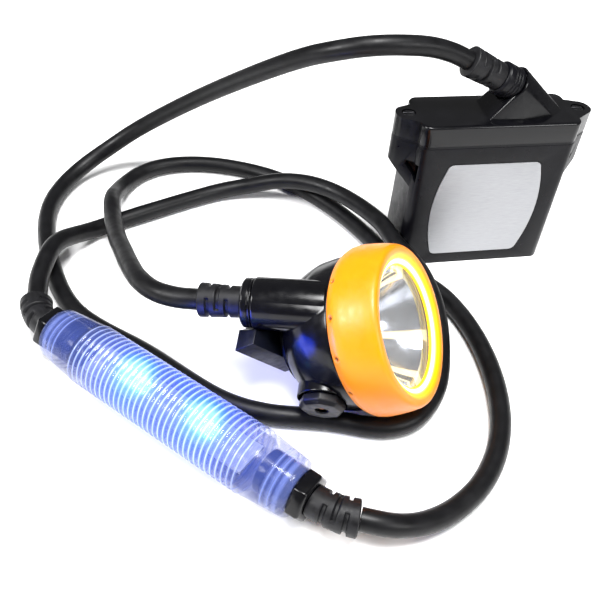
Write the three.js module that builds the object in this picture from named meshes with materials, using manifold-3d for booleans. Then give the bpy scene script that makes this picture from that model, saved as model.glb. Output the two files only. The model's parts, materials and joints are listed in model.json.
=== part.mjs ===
// Corded cap lamp in three units: a belt battery pack, a helmet headpiece and an in-line tube light.
// Millimetres, +Z up. The units rest on z = 0, with the origin under the middle of their box.
import * as THREE from "three";
import { mergeVertices } from "three/addons/utils/BufferGeometryUtils.js";
import { ConvexGeometry } from "three/addons/geometries/ConvexGeometry.js";
import Module from "manifold-3d";

const wasm = await Module();
wasm.setup();

// ---------------------------------------------------------------- driving dimensions

const GAP = 0.3; // between pieces that touch
const TINY = 1e-4; // vertices closer than this are one
const COARSE = 16; // sides of a small round piece
const FINE = 32; // sides of a large round piece

const CORD = { radius: 4.25, sides: 8, step: 18 };

// battery pack: x along its width, y from its front to its back
const PACK = {
  place: [76.308, 79.717, 0],
  yaw: 13.7,
  width: 76,
  depth: 29,
  corner: 4.5,
  wall: 2.5,
  caseTop: 66.5,
  lidBottom: 67.9,
  lidTop: 77.5,
};
const EAR = { x: 41, radius: 6.2, front: -12.5, back: 9, underside: 44, bevel: 55.5 };
const EAR_POCKET = { near: 2.5, far: 9.5, top: 57.5, outer: 55.2, bottom: 48, depth: 3.4 };
const CELL = { radius: 9.2, height: 65, pitch: 19, bottom: 3.7 };
const LABEL = { width: 45, bulge: 4, height: 51.6, bottom: 6.4, thickness: 0.6, corner: 3 };
const PACK_SCREW = { head: 2.9, headHeight: 2, shank: 1.4, length: 17 };
const HOOD = { x: 5.9, z: 89.6, radius: 8.6, rise: 26 }; // end circle of the cable hood, rise in degrees
const HOOD_FOOT = [[-6.7, 9], [10, 10.5], [26, 7.5], [33, 2]]; // half outline on the lid: x, half width

// headpiece: z along the beam, y towards the cable barrel, x away from the switch
const HEAD = {
  place: [23.108, -24.383, 31.75],
  yaw: -15,
  elevation: 31,
  roll: 22,
};
const BEZEL = { rear: 32.6, radius: 33.8, front: 31.3, lip: 28.4, chamfer: 26.8, opening: 23.6, depth: 19.5, inner: 29.1,
  shoulder: 16 };
const NECK = { radius: 28.7, bore: 26.4, front: 12.5 };
const LENS = { radius: 26.2, thickness: 1.4 };
const REFLECTOR = { mouth: 21.4, focal: 6.2, vertex: -4.5, hole: 4, skin: 1.2, flange: 28.5 };
const BARREL = { y: 22.8, z: -7.1, tilt: 25, radius: 10.2, start: -1.5, bore: 5.4, length: 26.2 };
// the flat under the body that the lamp lies on: its normal in the headpiece's own axes, its distance from the centre
const REST = { up: new THREE.Vector3(0.321, 0.795, 0.515).normalize(), depth: 31.3 };
const REAR = { radius: 19, top: -27, bottom: -29.5 };
const CLIP = { back: -38, front: -29.8, slant: 1.9 }; // the outline below is at the back, its front is smaller by slant
const CLIP_OUTLINE = [[-18.6, 32], [-12.5, -2], [8.6, -2], [9, 32]];
const CLIP_SCREWS = [4, 16]; // heights of the two screws up the clip
const SWITCH = { y: 4, z: -13.9, boss: 10.1, rim: 29.6, floor: 27.2, bore: 3.2, stem: 2.9, stemStart: 15.4 };
const CAP = { flat: 8.4, inner: 7, open: 29.8, end: 34, wall: 1, hole: 2.6 };
const BOOT = { crest: 6.7, root: 5.7, bore: 3.3, start: 27.5, end: 30.7, ribs: 2 };
const PIN = { radius: 1.5, start: 25.2, end: 32.9 };

// tube light: x along its length
const TUBE = {
  place: [-50.392, -55.083, 13],
  yaw: -32,
  half: 61.2,
  shoulder: 42,
  radius: 13,
  endRadius: 10.4,
  bore: 10.8,
  threadBore: 8.7,
};
const PLUG = { corner: 9.9, head: 5.4, shank: 8.3, inner: 46.5, bore: 5.5, groove: 49.4, grooveWidth: 1.7 };
const TUBE_LEDS = [-14, 20];

// strain relief, the same moulding at all four cable entries
const RELIEF = { root: 6.6, tip: 6.1, end: 5, spigot: 5, spigotLength: 4, length: 17, groove: 5.5 };
const NUT = { radius: 7.4, bore: 5.7, packLength: 9, headLength: 4.2, headScale: 1.36 };

// middle lines of the two cables, from exit to exit
const BATTERY_CABLE_ROUTE = [
  [58.5, 75.39, 101.41], [51.81, 73.77, 104.6], [41.61, 70.22, 108], [28.61, 65.32, 109.9],
  [14.61, 62.72, 109.3], [0.71, 65.02, 104.9], [-13.79, 72.72, 96.6], [-63.89, 108.22, 55],
  [-100.29, 119.92, 26.5], [-116.39, 116.62, 15], [-128.89, 106.62, 8], [-136.09, 90.32, 4.9],
  [-136.69, 68.72, 4.4], [-123.69, 30.52, 4.4], [-103.19, -0.58, 4.4], [-65.99, -22.78, 4.4],
  [-31.39, -43.68, 4.4], [-14.89, -47.9, 4.4], [10.4, -48.35, 4.4], [29.8, -50, 4.4],
  [38.9, -47.8, 4.4], [46.2, -42.9, 4.4], [55.11, -27.98, 4.4], [58.81, -6.88, 4.9],
  [57.31, 16.42, 10.2], [50.41, 35.62, 15], [40.11, 51.72, 16.4], [31.71, 69.62, 16.5],
  [11.91, 91.82, 15.2], [-4.59, 100.62, 14.5], [-20.89, 104.22, 12], [-37.19, 104.22, 7.2],
  [-53.09, 99.92, 4.75], [-86.09, 76.92, 4.4], [-109.89, 57.02, 5], [-119.79, 36.62, 12.8],
  [-121.29, 27.12, 14.3], [-120.79, 9.62, 13.4], [-119.09, 1.72, 13], [-117.22, -5.71, 13],
];
const HEAD_CABLE_ROUTE = [
  [-43.35, -23.37, 39.86], [-52, -22.3, 38.8], [-61.4, -18.4, 37.3], [-69.8, -9.98, 34.8],
  [-77.49, 3.62, 30.4], [-83.89, 17.62, 25.6], [-89.89, 30.62, 21.4], [-94.89, 43.12, 18],
  [-99.19, 55.62, 15.4], [-102.19, 65.82, 14.4], [-104.79, 77.12, 11.2], [-105.49, 88.42, 7.2],
  [-103.89, 99.22, 4.8], [-98.89, 109.62, 4.4], [-90.49, 117.92, 4.4], [-78.39, 123.42, 4.4],
  [-62.89, 125.62, 4.4], [-45.89, 124.22, 4.4], [-27.49, 119.22, 4.4], [-9.99, 109.92, 4.4],
  [6.31, 96.62, 4.4], [19.51, 82.22, 4.4], [28.61, 70.12, 4.4], [35.51, 58.92, 4.4],
  [43.71, 48.62, 4.4], [53.61, 40.62, 4.4], [62.51, 32.02, 4.4], [69.71, 20.62, 4.4],
  [75.51, 6.62, 4.4], [79.51, -9.38, 4.4], [81.31, -26.38, 4.4], [80.31, -43.38, 4.4],
  [75.91, -59.38, 4.4], [68.11, -73.38, 4.4], [57.01, -84.78, 4.9], [45.91, -92.18, 7.4],
  [36.61, -95.98, 10.6], [29.51, -96.98, 12.7], [22.99, -96.23, 13],
];

const COLOR = {
  black: 0x131317,
  rubber: 0x1c1c20,
  amber: 0xf59a0b,
  silver: 0xc9cbd0,
  steel: 0x8d9096,
  clear: 0xcfe0ff,
  blue: 0x3f7dff,
  board: 0x1d5b36,
  cell: 0x2f6fb0,
  grey: 0x55565c,
  yellow: 0xffe27a,
  brass: 0xb08a45,
};

// ---------------------------------------------------------------- geometry helpers

const rad = THREE.MathUtils.degToRad;

// one closed body with shared corners, no slivers, and faces that point out
function weld(geometry) {
  const bare = geometry.clone();
  bare.deleteAttribute("normal");
  bare.deleteAttribute("uv");
  const merged = mergeVertices(bare, TINY);
  const old = merged.index.array;
  const kept = [];
  for (let i = 0; i < old.length; i += 3) {
    const [a, b, c] = [old[i], old[i + 1], old[i + 2]];
    if (a !== b && b !== c && c !== a) kept.push(a, b, c);
  }
  merged.setIndex(kept);
  if (signedVolume(merged) < 0) {
    for (let i = 0; i < kept.length; i += 3) {
      [kept[i + 1], kept[i + 2]] = [kept[i + 2], kept[i + 1]];
    }
    merged.setIndex(kept);
  }
  return merged;
}

function signedVolume(geometry) {
  const position = geometry.getAttribute("position");
  const index = geometry.index.array;
  const corner = [new THREE.Vector3(), new THREE.Vector3(), new THREE.Vector3()];
  let volume = 0;
  for (let i = 0; i < index.length; i += 3) {
    corner.forEach((point, k) => point.fromBufferAttribute(position, index[i + k]));
    volume += corner[0].dot(corner[1].clone().cross(corner[2])) / 6;
  }
  return volume;
}

function toSolid(geometry) {
  const welded = weld(geometry);
  return new wasm.Manifold(new wasm.Mesh({
    numProp: 3,
    vertProperties: new Float32Array(welded.getAttribute("position").array),
    triVerts: new Uint32Array(welded.index.array),
  }));
}

function toGeometry(solid) {
  const mesh = solid.getMesh();
  const geometry = new THREE.BufferGeometry();
  geometry.setAttribute("position", new THREE.BufferAttribute(mesh.vertProperties, 3));
  geometry.setIndex(Array.from(mesh.triVerts));
  return geometry;
}

function join(...geometries) {
  const [first, ...rest] = geometries.map(toSolid);
  return toGeometry(rest.reduce((sum, solid) => sum.add(solid), first));
}

function cut(base, ...tools) {
  return toGeometry(tools.map(toSolid).reduce((left, tool) => left.subtract(tool), toSolid(base)));
}

// a turned solid about z from a profile of [radius, height]
function turned(profile, sides = FINE) {
  const points = profile.map(([radius, height]) => new THREE.Vector2(radius, height));
  return weld(new THREE.LatheGeometry(points, sides).rotateX(Math.PI / 2));
}

// a turned ring: its profile closes on itself
function turnedRing(profile, sides = FINE) {
  return turned([...profile, profile[0]], sides);
}

function rod(radius, from, to, sides = COARSE) {
  return turned([[0, from], [radius, from], [radius, to], [0, to]], sides);
}

function washer(inner, outer, from, to, sides = FINE) {
  return turnedRing([[inner, from], [outer, from], [outer, to], [inner, to]], sides);
}

// a box given by its lowest and highest corners
function block(low, high) {
  const size = high.map((value, i) => value - low[i]);
  const middle = high.map((value, i) => (value + low[i]) / 2);
  return new THREE.BoxGeometry(...size).translate(...middle);
}

function prism(shape, from, to, curveSegments = 4) {
  const options = { depth: to - from, bevelEnabled: false, curveSegments };
  return new THREE.ExtrudeGeometry(shape, options).translate(0, 0, from);
}

function roundedRectangle(width, depth, corner) {
  const [x, y] = [width / 2, depth / 2];
  const shape = new THREE.Shape();
  shape.moveTo(-x + corner, -y);
  shape.lineTo(x - corner, -y);
  shape.absarc(x - corner, -y + corner, corner, -Math.PI / 2, 0);
  shape.absarc(x - corner, y - corner, corner, 0, Math.PI / 2);
  shape.absarc(-x + corner, y - corner, corner, Math.PI / 2, Math.PI);
  shape.absarc(-x + corner, -y + corner, corner, Math.PI, 1.5 * Math.PI);
  return shape;
}

function polygon(points) {
  return new THREE.Shape(points.map(([x, y]) => new THREE.Vector2(x, y)));
}

function mirrored(geometry) {
  return weld(geometry.clone().scale(-1, 1, 1));
}

// bends what lies beyond z = 0 sideways towards +x, through an angle over a length
function bend(geometry, degrees, length) {
  if (degrees === 0) return geometry;
  const radius = length / rad(degrees);
  const position = geometry.getAttribute("position");
  for (let i = 0; i < position.count; i += 1) {
    const z = position.getZ(i);
    if (z <= 0) continue;
    const angle = z / radius;
    const reach = radius - position.getX(i);
    position.setX(i, radius - reach * Math.cos(angle));
    position.setZ(i, reach * Math.sin(angle));
  }
  return geometry;
}

function piece(name, geometry, color, { metal = 0, rough = 0.5 } = {}) {
  const material = new THREE.MeshStandardMaterial({ color, roughness: rough, metalness: metal });
  const mesh = new THREE.Mesh(weld(geometry), material);
  mesh.name = name;
  return mesh;
}

function unit(place, ...children) {
  const group = new THREE.Group();
  group.position.set(...place);
  group.add(...children.flat());
  return group;
}

// ---------------------------------------------------------------- strain reliefs and cables

// spigot below z = 0, tapered sleeve with two grooves above it
function reliefGeometry(degrees = 0) {
  const { root, tip, end, spigot, spigotLength, length, groove } = RELIEF;
  const grooveWidth = 1.2;
  const at = (z) => THREE.MathUtils.lerp(root, tip, z / length);
  const profile = [[0, -spigotLength], [spigot, -spigotLength], [spigot, 0], [root, 0]];
  for (const z of [5, 10.4]) {
    profile.push([at(z), z], [groove, z], [groove, z + grooveWidth], [at(z), z + grooveWidth]);
  }
  profile.push([tip, length - 1.6], [end, length], [0, length]);
  return bend(turned(profile, 14), degrees, length);
}

function relief(name, place, direction, degrees = 0) {
  const mesh = piece(name, reliefGeometry(degrees), COLOR.rubber, { rough: 0.75 });
  mesh.position.set(...place);
  mesh.quaternion.copy(direction);
  return mesh;
}

// turns z to a direction in the x-z plane that leaves along -x and rises by an angle
function leavingLeft(riseDegrees) {
  const rise = rad(riseDegrees);
  const z = new THREE.Vector3(-Math.cos(rise), 0, Math.sin(rise));
  const y = new THREE.Vector3(0, 1, 0);
  const x = new THREE.Vector3().crossVectors(y, z);
  return new THREE.Quaternion().setFromRotationMatrix(new THREE.Matrix4().makeBasis(x, y, z));
}

function cable(name, route) {
  const points = route.map((point) => new THREE.Vector3(...point));
  const path = new THREE.CatmullRomCurve3(points, false, "centripetal");
  const section = new THREE.Shape();
  for (let i = 0; i < CORD.sides; i += 1) {
    const angle = (i / CORD.sides) * 2 * Math.PI;
    const corner = [CORD.radius * Math.cos(angle), CORD.radius * Math.sin(angle)];
    if (i === 0) section.moveTo(...corner);
    else section.lineTo(...corner);
  }
  const steps = Math.round(path.getLength() / CORD.step);
  const geometry = new THREE.ExtrudeGeometry(section, { steps, bevelEnabled: false, extrudePath: path });
  return piece(name, geometry, COLOR.rubber, { rough: 0.6 });
}

// ---------------------------------------------------------------- battery pack

const packHole = (side, radius, from, to) => rod(radius, from, to).translate(side * EAR.x, 0, 0);

// plan of the right-hand ear, from the front corner round the screw and back to the side
function earShape() {
  const root = PACK.width / 2 - PACK.corner;
  const shape = new THREE.Shape();
  shape.moveTo(root, EAR.front);
  shape.absarc(EAR.x, 0, EAR.radius, rad(-46), rad(56));
  shape.lineTo(root, EAR.back);
  return shape;
}

function earPair(from, to) {
  const ear = prism(earShape(), from, to, 3);
  return [ear, mirrored(ear)];
}

// the slope that takes the underside of an ear back to the side wall
function earBevel() {
  const outer = EAR.x + EAR.radius + 1;
  const inner = PACK.width / 2;
  const wedge = polygon([[inner, EAR.underside - 8], [outer, EAR.underside - 8], [outer, EAR.bevel],
    [inner, EAR.underside]]);
  const tool = prism(wedge, -PACK.depth, PACK.depth, 1).rotateX(Math.PI / 2);
  return tool;
}

// three-cornered pocket in the slanting front face of an ear
function earPocket() {
  const root = PACK.width / 2 - PACK.corner;
  const tip = [EAR.x + EAR.radius * Math.cos(rad(-46)), EAR.radius * Math.sin(rad(-46))];
  const slope = Math.atan2(tip[1] - EAR.front, tip[0] - root);
  const { near, far, top, outer, bottom, depth } = EAR_POCKET;
  const outline = polygon([[near, bottom], [far, outer], [far, top], [near, top]]);
  const tool = prism(outline, -depth, depth, 1).rotateX(Math.PI / 2);
  return tool.rotateZ(slope).translate(root, EAR.front, 0);
}

function labelShape(grow) {
  const { width, bulge, height, corner } = LABEL;
  const [x, z, out] = [width / 2 + grow, height / 2 + grow, 2 * bulge];
  const shape = new THREE.Shape();
  shape.moveTo(-x + corner, -z);
  shape.lineTo(x - corner, -z);
  shape.quadraticCurveTo(x, -z, x + 0.6, -z + corner);
  shape.quadraticCurveTo(x + out, 0, x + 0.6, z - corner);
  shape.quadraticCurveTo(x, z, x - corner, z);
  shape.lineTo(-x + corner, z);
  shape.quadraticCurveTo(-x, z, -x - 0.6, z - corner);
  shape.quadraticCurveTo(-x - out, 0, -x - 0.6, -z + corner);
  shape.quadraticCurveTo(-x, -z, -x + corner, -z);
  return shape;
}

// a slab of the label's outline standing against the front face, between two depths
function labelSlab(grow, from, to) {
  const slab = prism(labelShape(grow), from, to, 5).rotateX(Math.PI / 2);
  return slab.translate(0, 0, LABEL.bottom + LABEL.height / 2);
}

function batteryCase() {
  const { width, depth, corner, wall, caseTop } = PACK;
  const outer = prism(roundedRectangle(width, depth, corner), 0, caseTop);
  const cavity = roundedRectangle(width - 2 * wall, depth - 2 * wall, corner - 2);
  const front = depth / 2;
  const shell = join(outer, ...earPair(EAR.underside - 6, caseTop));
  return cut(
    shell,
    prism(cavity, wall, caseTop + 1),
    earBevel(),
    mirrored(earBevel()),
    earPocket(),
    mirrored(earPocket()),
    packHole(1, PACK_SCREW.shank + GAP, 57, caseTop + 1),
    packHole(-1, PACK_SCREW.shank + GAP, 57, caseTop + 1),
    labelSlab(GAP, front - LABEL.thickness, front + 1),
  );
}

function hoodFrame() {
  const rise = rad(HOOD.rise);
  return { axis: new THREE.Vector3(-Math.cos(rise), 0, Math.sin(rise)), turn: leavingLeft(HOOD.rise) };
}

// the hood is drawn over its foot on the lid and the circle that carries the gland
function hoodSolid() {
  const { turn } = hoodFrame();
  const points = [];
  for (const [x, half] of HOOD_FOOT) {
    points.push(new THREE.Vector3(x, half, PACK.lidTop - 1), new THREE.Vector3(x, -half, PACK.lidTop - 1));
  }
  for (let i = 0; i < FINE; i += 1) {
    const angle = (i / FINE) * 2 * Math.PI;
    const rim = new THREE.Vector3(HOOD.radius * Math.cos(angle), HOOD.radius * Math.sin(angle), 0);
    points.push(rim.applyQuaternion(turn).add(new THREE.Vector3(HOOD.x, 0, HOOD.z)));
  }
  return new ConvexGeometry(points);
}

function batteryLid() {
  const { width, depth, corner, wall, lidBottom, lidTop } = PACK;
  const edge = 1.2;
  const shell = prism(roundedRectangle(width, depth, corner), lidBottom, lidTop - edge);
  const crown = prism(roundedRectangle(width - 2 * edge, depth - 2 * edge, corner - edge), lidTop - edge, lidTop);
  const cavity = roundedRectangle(width - 2 * wall, depth - 2 * wall, corner - 2);
  const seat = lidTop - PACK_SCREW.headHeight - GAP;
  const { turn } = hoodFrame();
  const nutRoom = rod(NUT.radius + 1, 0, 40).applyQuaternion(turn).translate(HOOD.x, 0, HOOD.z);
  const duct = rod(NUT.bore, -16, 1).applyQuaternion(turn).translate(HOOD.x, 0, HOOD.z);
  const drop = rod(4, lidTop - 6, lidTop + 6).translate(18, 0, 0);
  return cut(
    join(shell, crown, ...earPair(lidBottom, lidTop), cut(hoodSolid(), nutRoom)),
    prism(cavity, lidBottom - 1, lidTop - wall),
    duct,
    drop,
    packHole(1, PACK_SCREW.shank + GAP, lidBottom - 1, lidTop),
    packHole(-1, PACK_SCREW.shank + GAP, lidBottom - 1, lidTop),
    packHole(1, PACK_SCREW.head + GAP, seat - GAP, lidTop + 1),
    packHole(-1, PACK_SCREW.head + GAP, seat - GAP, lidTop + 1),
  );
}

function lidGasket() {
  const { width, depth, corner, caseTop, lidBottom } = PACK;
  const [low, high] = [caseTop + GAP, lidBottom - GAP];
  const outline = prism(roundedRectangle(width - 1.4, depth - 1.4, corner - 0.7), low, high);
  return cut(outline, prism(roundedRectangle(width - 4.4, depth - 4.4, corner - 2), low - 1, high + 1));
}

function packScrew() {
  const { head, headHeight, shank, length } = PACK_SCREW;
  const top = PACK.lidTop - GAP;
  const profile = [[0, top - length], [shank, top - length], [shank, top - headHeight], [head, top - headHeight],
    [head, top], [0, top]];
  const slot = 0.9;
  const driver = block([-head, -slot / 2, top - 0.8], [head, slot / 2, top + 1]);
  return cut(turned(profile, COARSE), driver);
}

function glandNut(length, sides = 12) {
  const { radius, bore } = NUT;
  const edge = 0.8;
  return turnedRing([[bore, 0], [radius - edge, 0], [radius, edge], [radius, length - 2 * edge],
    [radius - 1.6, length], [bore, length]], sides);
}

function batteryPack() {
  const { axis, turn } = hoodFrame();
  const hoodPoint = (distance) => new THREE.Vector3(HOOD.x, 0, HOOD.z).addScaledVector(axis, distance);
  const parts = [
    piece("battery_case", batteryCase(), COLOR.black, { rough: 0.35 }),
    piece("battery_lid", batteryLid(), COLOR.black, { rough: 0.2 }),
    piece("lid_gasket", lidGasket(), COLOR.rubber, { rough: 0.8 }),
    piece("label_plate", labelSlab(0, PACK.depth / 2 - LABEL.thickness + GAP, PACK.depth / 2 + GAP),
      COLOR.silver, { metal: 0.9, rough: 0.35 }),
  ];
  for (const [name, side] of [["lid_screw_left", -1], ["lid_screw_right", 1]]) {
    parts.push(piece(name, packScrew().translate(side * EAR.x, 0, 0), COLOR.steel, { metal: 1 }));
  }

  const top = CELL.bottom + CELL.height;
  [-1, 0, 1].forEach((place, i) => {
    const body = [[0, CELL.bottom], [CELL.radius, CELL.bottom], [CELL.radius, top - 1], [CELL.radius - 1, top],
      [0, top]];
    parts.push(piece(`battery_cell_${i + 1}`, turned(body, 24).translate(place * CELL.pitch, 0, 0), COLOR.cell));
  });
  const tray = prism(roundedRectangle(PACK.width - 2 * PACK.wall - 2 * GAP, PACK.depth - 2 * PACK.wall - 2 * GAP, 2.5),
    8, 20);
  const holes = [-1, 0, 1].map((place) => rod(CELL.radius + GAP, 0, 30, 24).translate(place * CELL.pitch, 0, 0));
  parts.push(piece("cell_tray", cut(tray, ...holes), COLOR.grey));
  const strapHalf = CELL.pitch + 5;
  parts.push(
    piece("cell_strap_top", block([-strapHalf, -4, top + GAP], [strapHalf, 4, top + GAP + 0.4]), COLOR.steel,
      { metal: 1 }),
    piece("cell_strap_bottom", block([-strapHalf, -4, 2.8], [strapHalf, 4, 3.3]), COLOR.steel, { metal: 1 }),
    piece("protection_board", join(block([-30, -9, 70.6], [30, 9, 72]), block([-22, -5, 71.8], [-6, 5, 74.2]),
      block([4, -4, 71.8], [12, 4, 74])), COLOR.board),
  );

  const nut = piece("battery_gland_nut", glandNut(NUT.packLength), COLOR.black, { rough: 0.35 });
  nut.position.copy(hoodPoint(GAP));
  nut.quaternion.copy(turn);
  const reliefStart = hoodPoint(NUT.packLength + 2 * GAP).toArray();
  parts.push(nut, relief("battery_strain_relief", reliefStart, turn));

  const pack = unit(PACK.place, parts);
  pack.rotation.z = rad(PACK.yaw);
  return pack;
}

// ---------------------------------------------------------------- headpiece

// puts a solid made along z onto the switch axis, so that its heights become distances out to -x
function onSwitchAxis(geometry) {
  return geometry.rotateY(-Math.PI / 2).translate(0, SWITCH.y, SWITCH.z);
}

function barrelTurn() {
  const tilt = rad(BARREL.tilt);
  const z = new THREE.Vector3(0, Math.sin(tilt), -Math.cos(tilt));
  const x = new THREE.Vector3(-1, 0, 0);
  const y = new THREE.Vector3().crossVectors(z, x);
  return new THREE.Quaternion().setFromRotationMatrix(new THREE.Matrix4().makeBasis(x, y, z));
}

function onBarrelAxis(geometry) {
  return geometry.applyQuaternion(barrelTurn()).translate(0, BARREL.y, BARREL.z);
}

function capCorner() {
  return CAP.flat / Math.cos(Math.PI / 8);
}

function lampBody() {
  const dome = turned([[0, -26.6], [21, -26.6], [25, -23], [28.3, -18], [30.2, -12], [30.8, -6], [30.9, -0.4],
    [NECK.radius, -0.4], [NECK.radius, NECK.front], [0, NECK.front]]);
  const flat = rod(60, -REST.depth - 40, -REST.depth);
  flat.applyQuaternion(new THREE.Quaternion().setFromUnitVectors(new THREE.Vector3(0, 0, 1), REST.up));
  const cavity = turned([[0, -23.6], [16.5, -23.6], [20.4, -19], [24, -12], [NECK.bore, -3],
    [NECK.bore, NECK.front + 1], [0, NECK.front + 1]]);
  const barrel = onBarrelAxis(rod(BARREL.radius, BARREL.start, BARREL.length, 24));
  const boss = onSwitchAxis(rod(SWITCH.boss, 16, SWITCH.rim, 24));
  const capRoom = onSwitchAxis(rod(capCorner() + 0.35, SWITCH.floor, CAP.end, 24));
  const screwHoles = CLIP_SCREWS.map((y) => rod(1.5, -31, -20, 12).translate(0, y, 0));
  return cut(
    join(dome, barrel, boss),
    cavity,
    onBarrelAxis(rod(BARREL.bore, -14, BARREL.length + 1, 16)),
    onSwitchAxis(rod(SWITCH.bore, 10, SWITCH.floor + 1, 14)),
    capRoom,
    flat,
    ...screwHoles,
  );
}

function rearPlate() {
  const { radius, top, bottom } = REAR;
  const disc = turned([[0, bottom], [radius - 0.8, bottom], [radius, bottom + 0.8], [radius, top], [0, top]]);
  const holes = CLIP_SCREWS.map((y) => rod(1.6, bottom - 1, top + 1, 10).translate(0, y, 0));
  return cut(disc, onBarrelAxis(rod(BARREL.radius + GAP, 0, 60, 24)), ...holes);
}

// tapered dovetail tongue, wider at its back than at the lamp and wider at its top than at its foot
function helmetClip() {
  const { back, front, slant } = CLIP;
  const points = CLIP_OUTLINE.flatMap(([x, y]) => [
    new THREE.Vector3(x, y, back),
    new THREE.Vector3(x - Math.sign(x) * slant, y, front),
  ]);
  const holes = CLIP_SCREWS.flatMap((y) => [
    rod(1.6, back - 1, front + 1, 10).translate(0, y, 0),
    rod(3, back - 1, back + 2, 16).translate(0, y, 0),
  ]);
  return cut(new ConvexGeometry(points), onBarrelAxis(rod(BARREL.radius + 0.5, 0, 60, 24)), ...holes);
}

function clipScrew() {
  return turned([[0, -20.5], [1.05, -20.5], [1.05, CLIP.back + 1.7], [2.6, CLIP.back + 1.7], [2.6, CLIP.back + 0.3],
    [0, CLIP.back + 0.3]].reverse(), 12);
}

function bezel() {
  const { rear, radius, front, lip, chamfer, opening, depth, inner, shoulder } = BEZEL;
  return turnedRing([
    [inner, 0], [rear - 0.5, 0], [rear, 0.8], [radius - 0.1, 3], [radius, 6], [radius - 0.5, 10.5], [front + 1.2, 15],
    [front + 0.5, 17.6], [front, 18.7], [front - 1, depth],
    [lip, depth], [chamfer, depth - 1], [opening + 0.4, shoulder + 0.8], [opening, shoulder + 0.5],
    [opening, shoulder], [inner, shoulder],
  ], 40);
}

function reflectorShell() {
  const { mouth, focal, vertex, hole, skin, flange } = REFLECTOR;
  const height = (radius) => vertex + radius ** 2 / (4 * focal);
  const inside = [];
  const steps = 7;
  for (let i = 0; i <= steps; i += 1) {
    const radius = THREE.MathUtils.lerp(hole, mouth, i / steps);
    inside.push([radius, height(radius)]);
  }
  const top = height(mouth);
  const outside = inside.map(([radius, z]) => [radius + skin, z - 0.4 * skin]).reverse();
  outside[0] = [mouth + skin, top - skin];
  return turnedRing([...inside, [flange, top], [flange, top - skin], ...outside]);
}

function switchCap() {
  const { flat, inner, open, end, wall, hole } = CAP;
  const corner = capCorner();
  const outside = turned([[0, open], [corner, open], [corner, end - 1.4], [corner - 1.4, end], [0, end]], 8);
  const skirt = turned([[0, open - 1], [inner, open - 1], [inner, end - wall], [0, end - wall]], 20);
  return onSwitchAxis(cut(outside.rotateZ(Math.PI / 8), skirt, rod(hole, end - 3, end + 1, 16)));
}

function switchBoot() {
  const { crest, root, bore, start, end, ribs } = BOOT;
  const pitch = (end - start) / ribs;
  const profile = [[bore, start]];
  for (let i = 0; i < ribs; i += 1) {
    const z = start + i * pitch;
    profile.push([root, z], [crest, z + 0.35 * pitch], [crest, z + 0.65 * pitch]);
  }
  profile.push([root, end], [bore, end]);
  return onSwitchAxis(turnedRing(profile, 20));
}

function headpiece() {
  const stemTop = CAP.end - CAP.wall - GAP;
  const mouthTop = REFLECTOR.vertex + REFLECTOR.mouth ** 2 / (4 * REFLECTOR.focal);
  const lensBack = mouthTop + GAP;
  const stem = cut(rod(SWITCH.stem, SWITCH.stemStart, stemTop, 14), rod(PIN.radius + GAP, PIN.start - 2, stemTop + 1, 12));
  const parts = [
    piece("lamp_body", lampBody(), COLOR.black, { rough: 0.15 }),
    piece("rear_plate", rearPlate(), COLOR.grey, { rough: 0.7 }),
    piece("helmet_clip", helmetClip(), COLOR.black, { rough: 0.4 }),
    piece("bezel", bezel(), COLOR.amber, { rough: 0.4 }),
    piece("lens", rod(LENS.radius, lensBack, lensBack + LENS.thickness, FINE), COLOR.clear, { rough: 0.05 }),
    piece("lens_seal", washer(LENS.radius + GAP, 28.3, lensBack, lensBack + LENS.thickness), COLOR.rubber, { rough: 0.8 }),
    piece("reflector", reflectorShell(), COLOR.silver, { metal: 1, rough: 0.1 }),
    piece("main_led", turned([[0, -5], [2.6, -5], [2.6, -3.9], [1.9, -2.8], [0, -2.3]], COARSE), COLOR.yellow),
    piece("led_board", rod(10, -6.9, -5.3, 24), COLOR.steel, { metal: 1 }),
    piece("control_board", join(rod(14.5, -19.6, -18, 24), block([-6, -9, -18.5], [4, -3, -16.4])), COLOR.board),
    piece("tactile_switch", block([-13, SWITCH.y - 3, SWITCH.z - 3], [-9, SWITCH.y + 3, SWITCH.z + 3]),
      COLOR.grey),
    piece("switch_boot", switchBoot(), COLOR.rubber, { rough: 0.8 }),
    piece("switch_cap", switchCap(), COLOR.grey, { rough: 0.6 }),
    piece("switch_stem", onSwitchAxis(stem), COLOR.steel, { metal: 1 }),
    piece("contact_pin", onSwitchAxis(rod(PIN.radius, PIN.start, PIN.end, 12)), COLOR.brass, { metal: 1 }),
    piece("head_gland_nut", onBarrelAxis(glandNut(NUT.headLength, 24).scale(NUT.headScale, NUT.headScale, 1)
      .translate(0, 0, BARREL.length + GAP)), COLOR.black, { rough: 0.35 }),
  ];
  CLIP_SCREWS.forEach((y, i) => {
    parts.push(piece(`clip_screw_${i + 1}`, clipScrew().translate(0, y, 0), COLOR.steel, { metal: 1 }));
  });
  const start = BARREL.length + NUT.headLength + 2 * GAP;
  const place = new THREE.Vector3(0, 0, start).applyQuaternion(barrelTurn()).add(
    new THREE.Vector3(0, BARREL.y, BARREL.z));
  parts.push(relief("head_strain_relief", place.toArray(), barrelTurn()));

  // beam along +x, barrel up: then rolled, raised and turned as the lamp lies
  const upright = unit([0, 0, 0], parts);
  upright.quaternion.setFromRotationMatrix(new THREE.Matrix4().makeBasis(
    new THREE.Vector3(0, 1, 0), new THREE.Vector3(0, 0, 1), new THREE.Vector3(1, 0, 0)));
  const head = unit(HEAD.place, upright);
  head.rotation.set(rad(HEAD.roll), rad(-HEAD.elevation), rad(HEAD.yaw), "ZYX");
  return head;
}

// ---------------------------------------------------------------- tube light

// lays a solid made along z onto the tube's x axis
const alongTube = (geometry) => geometry.rotateY(Math.PI / 2);

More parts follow.
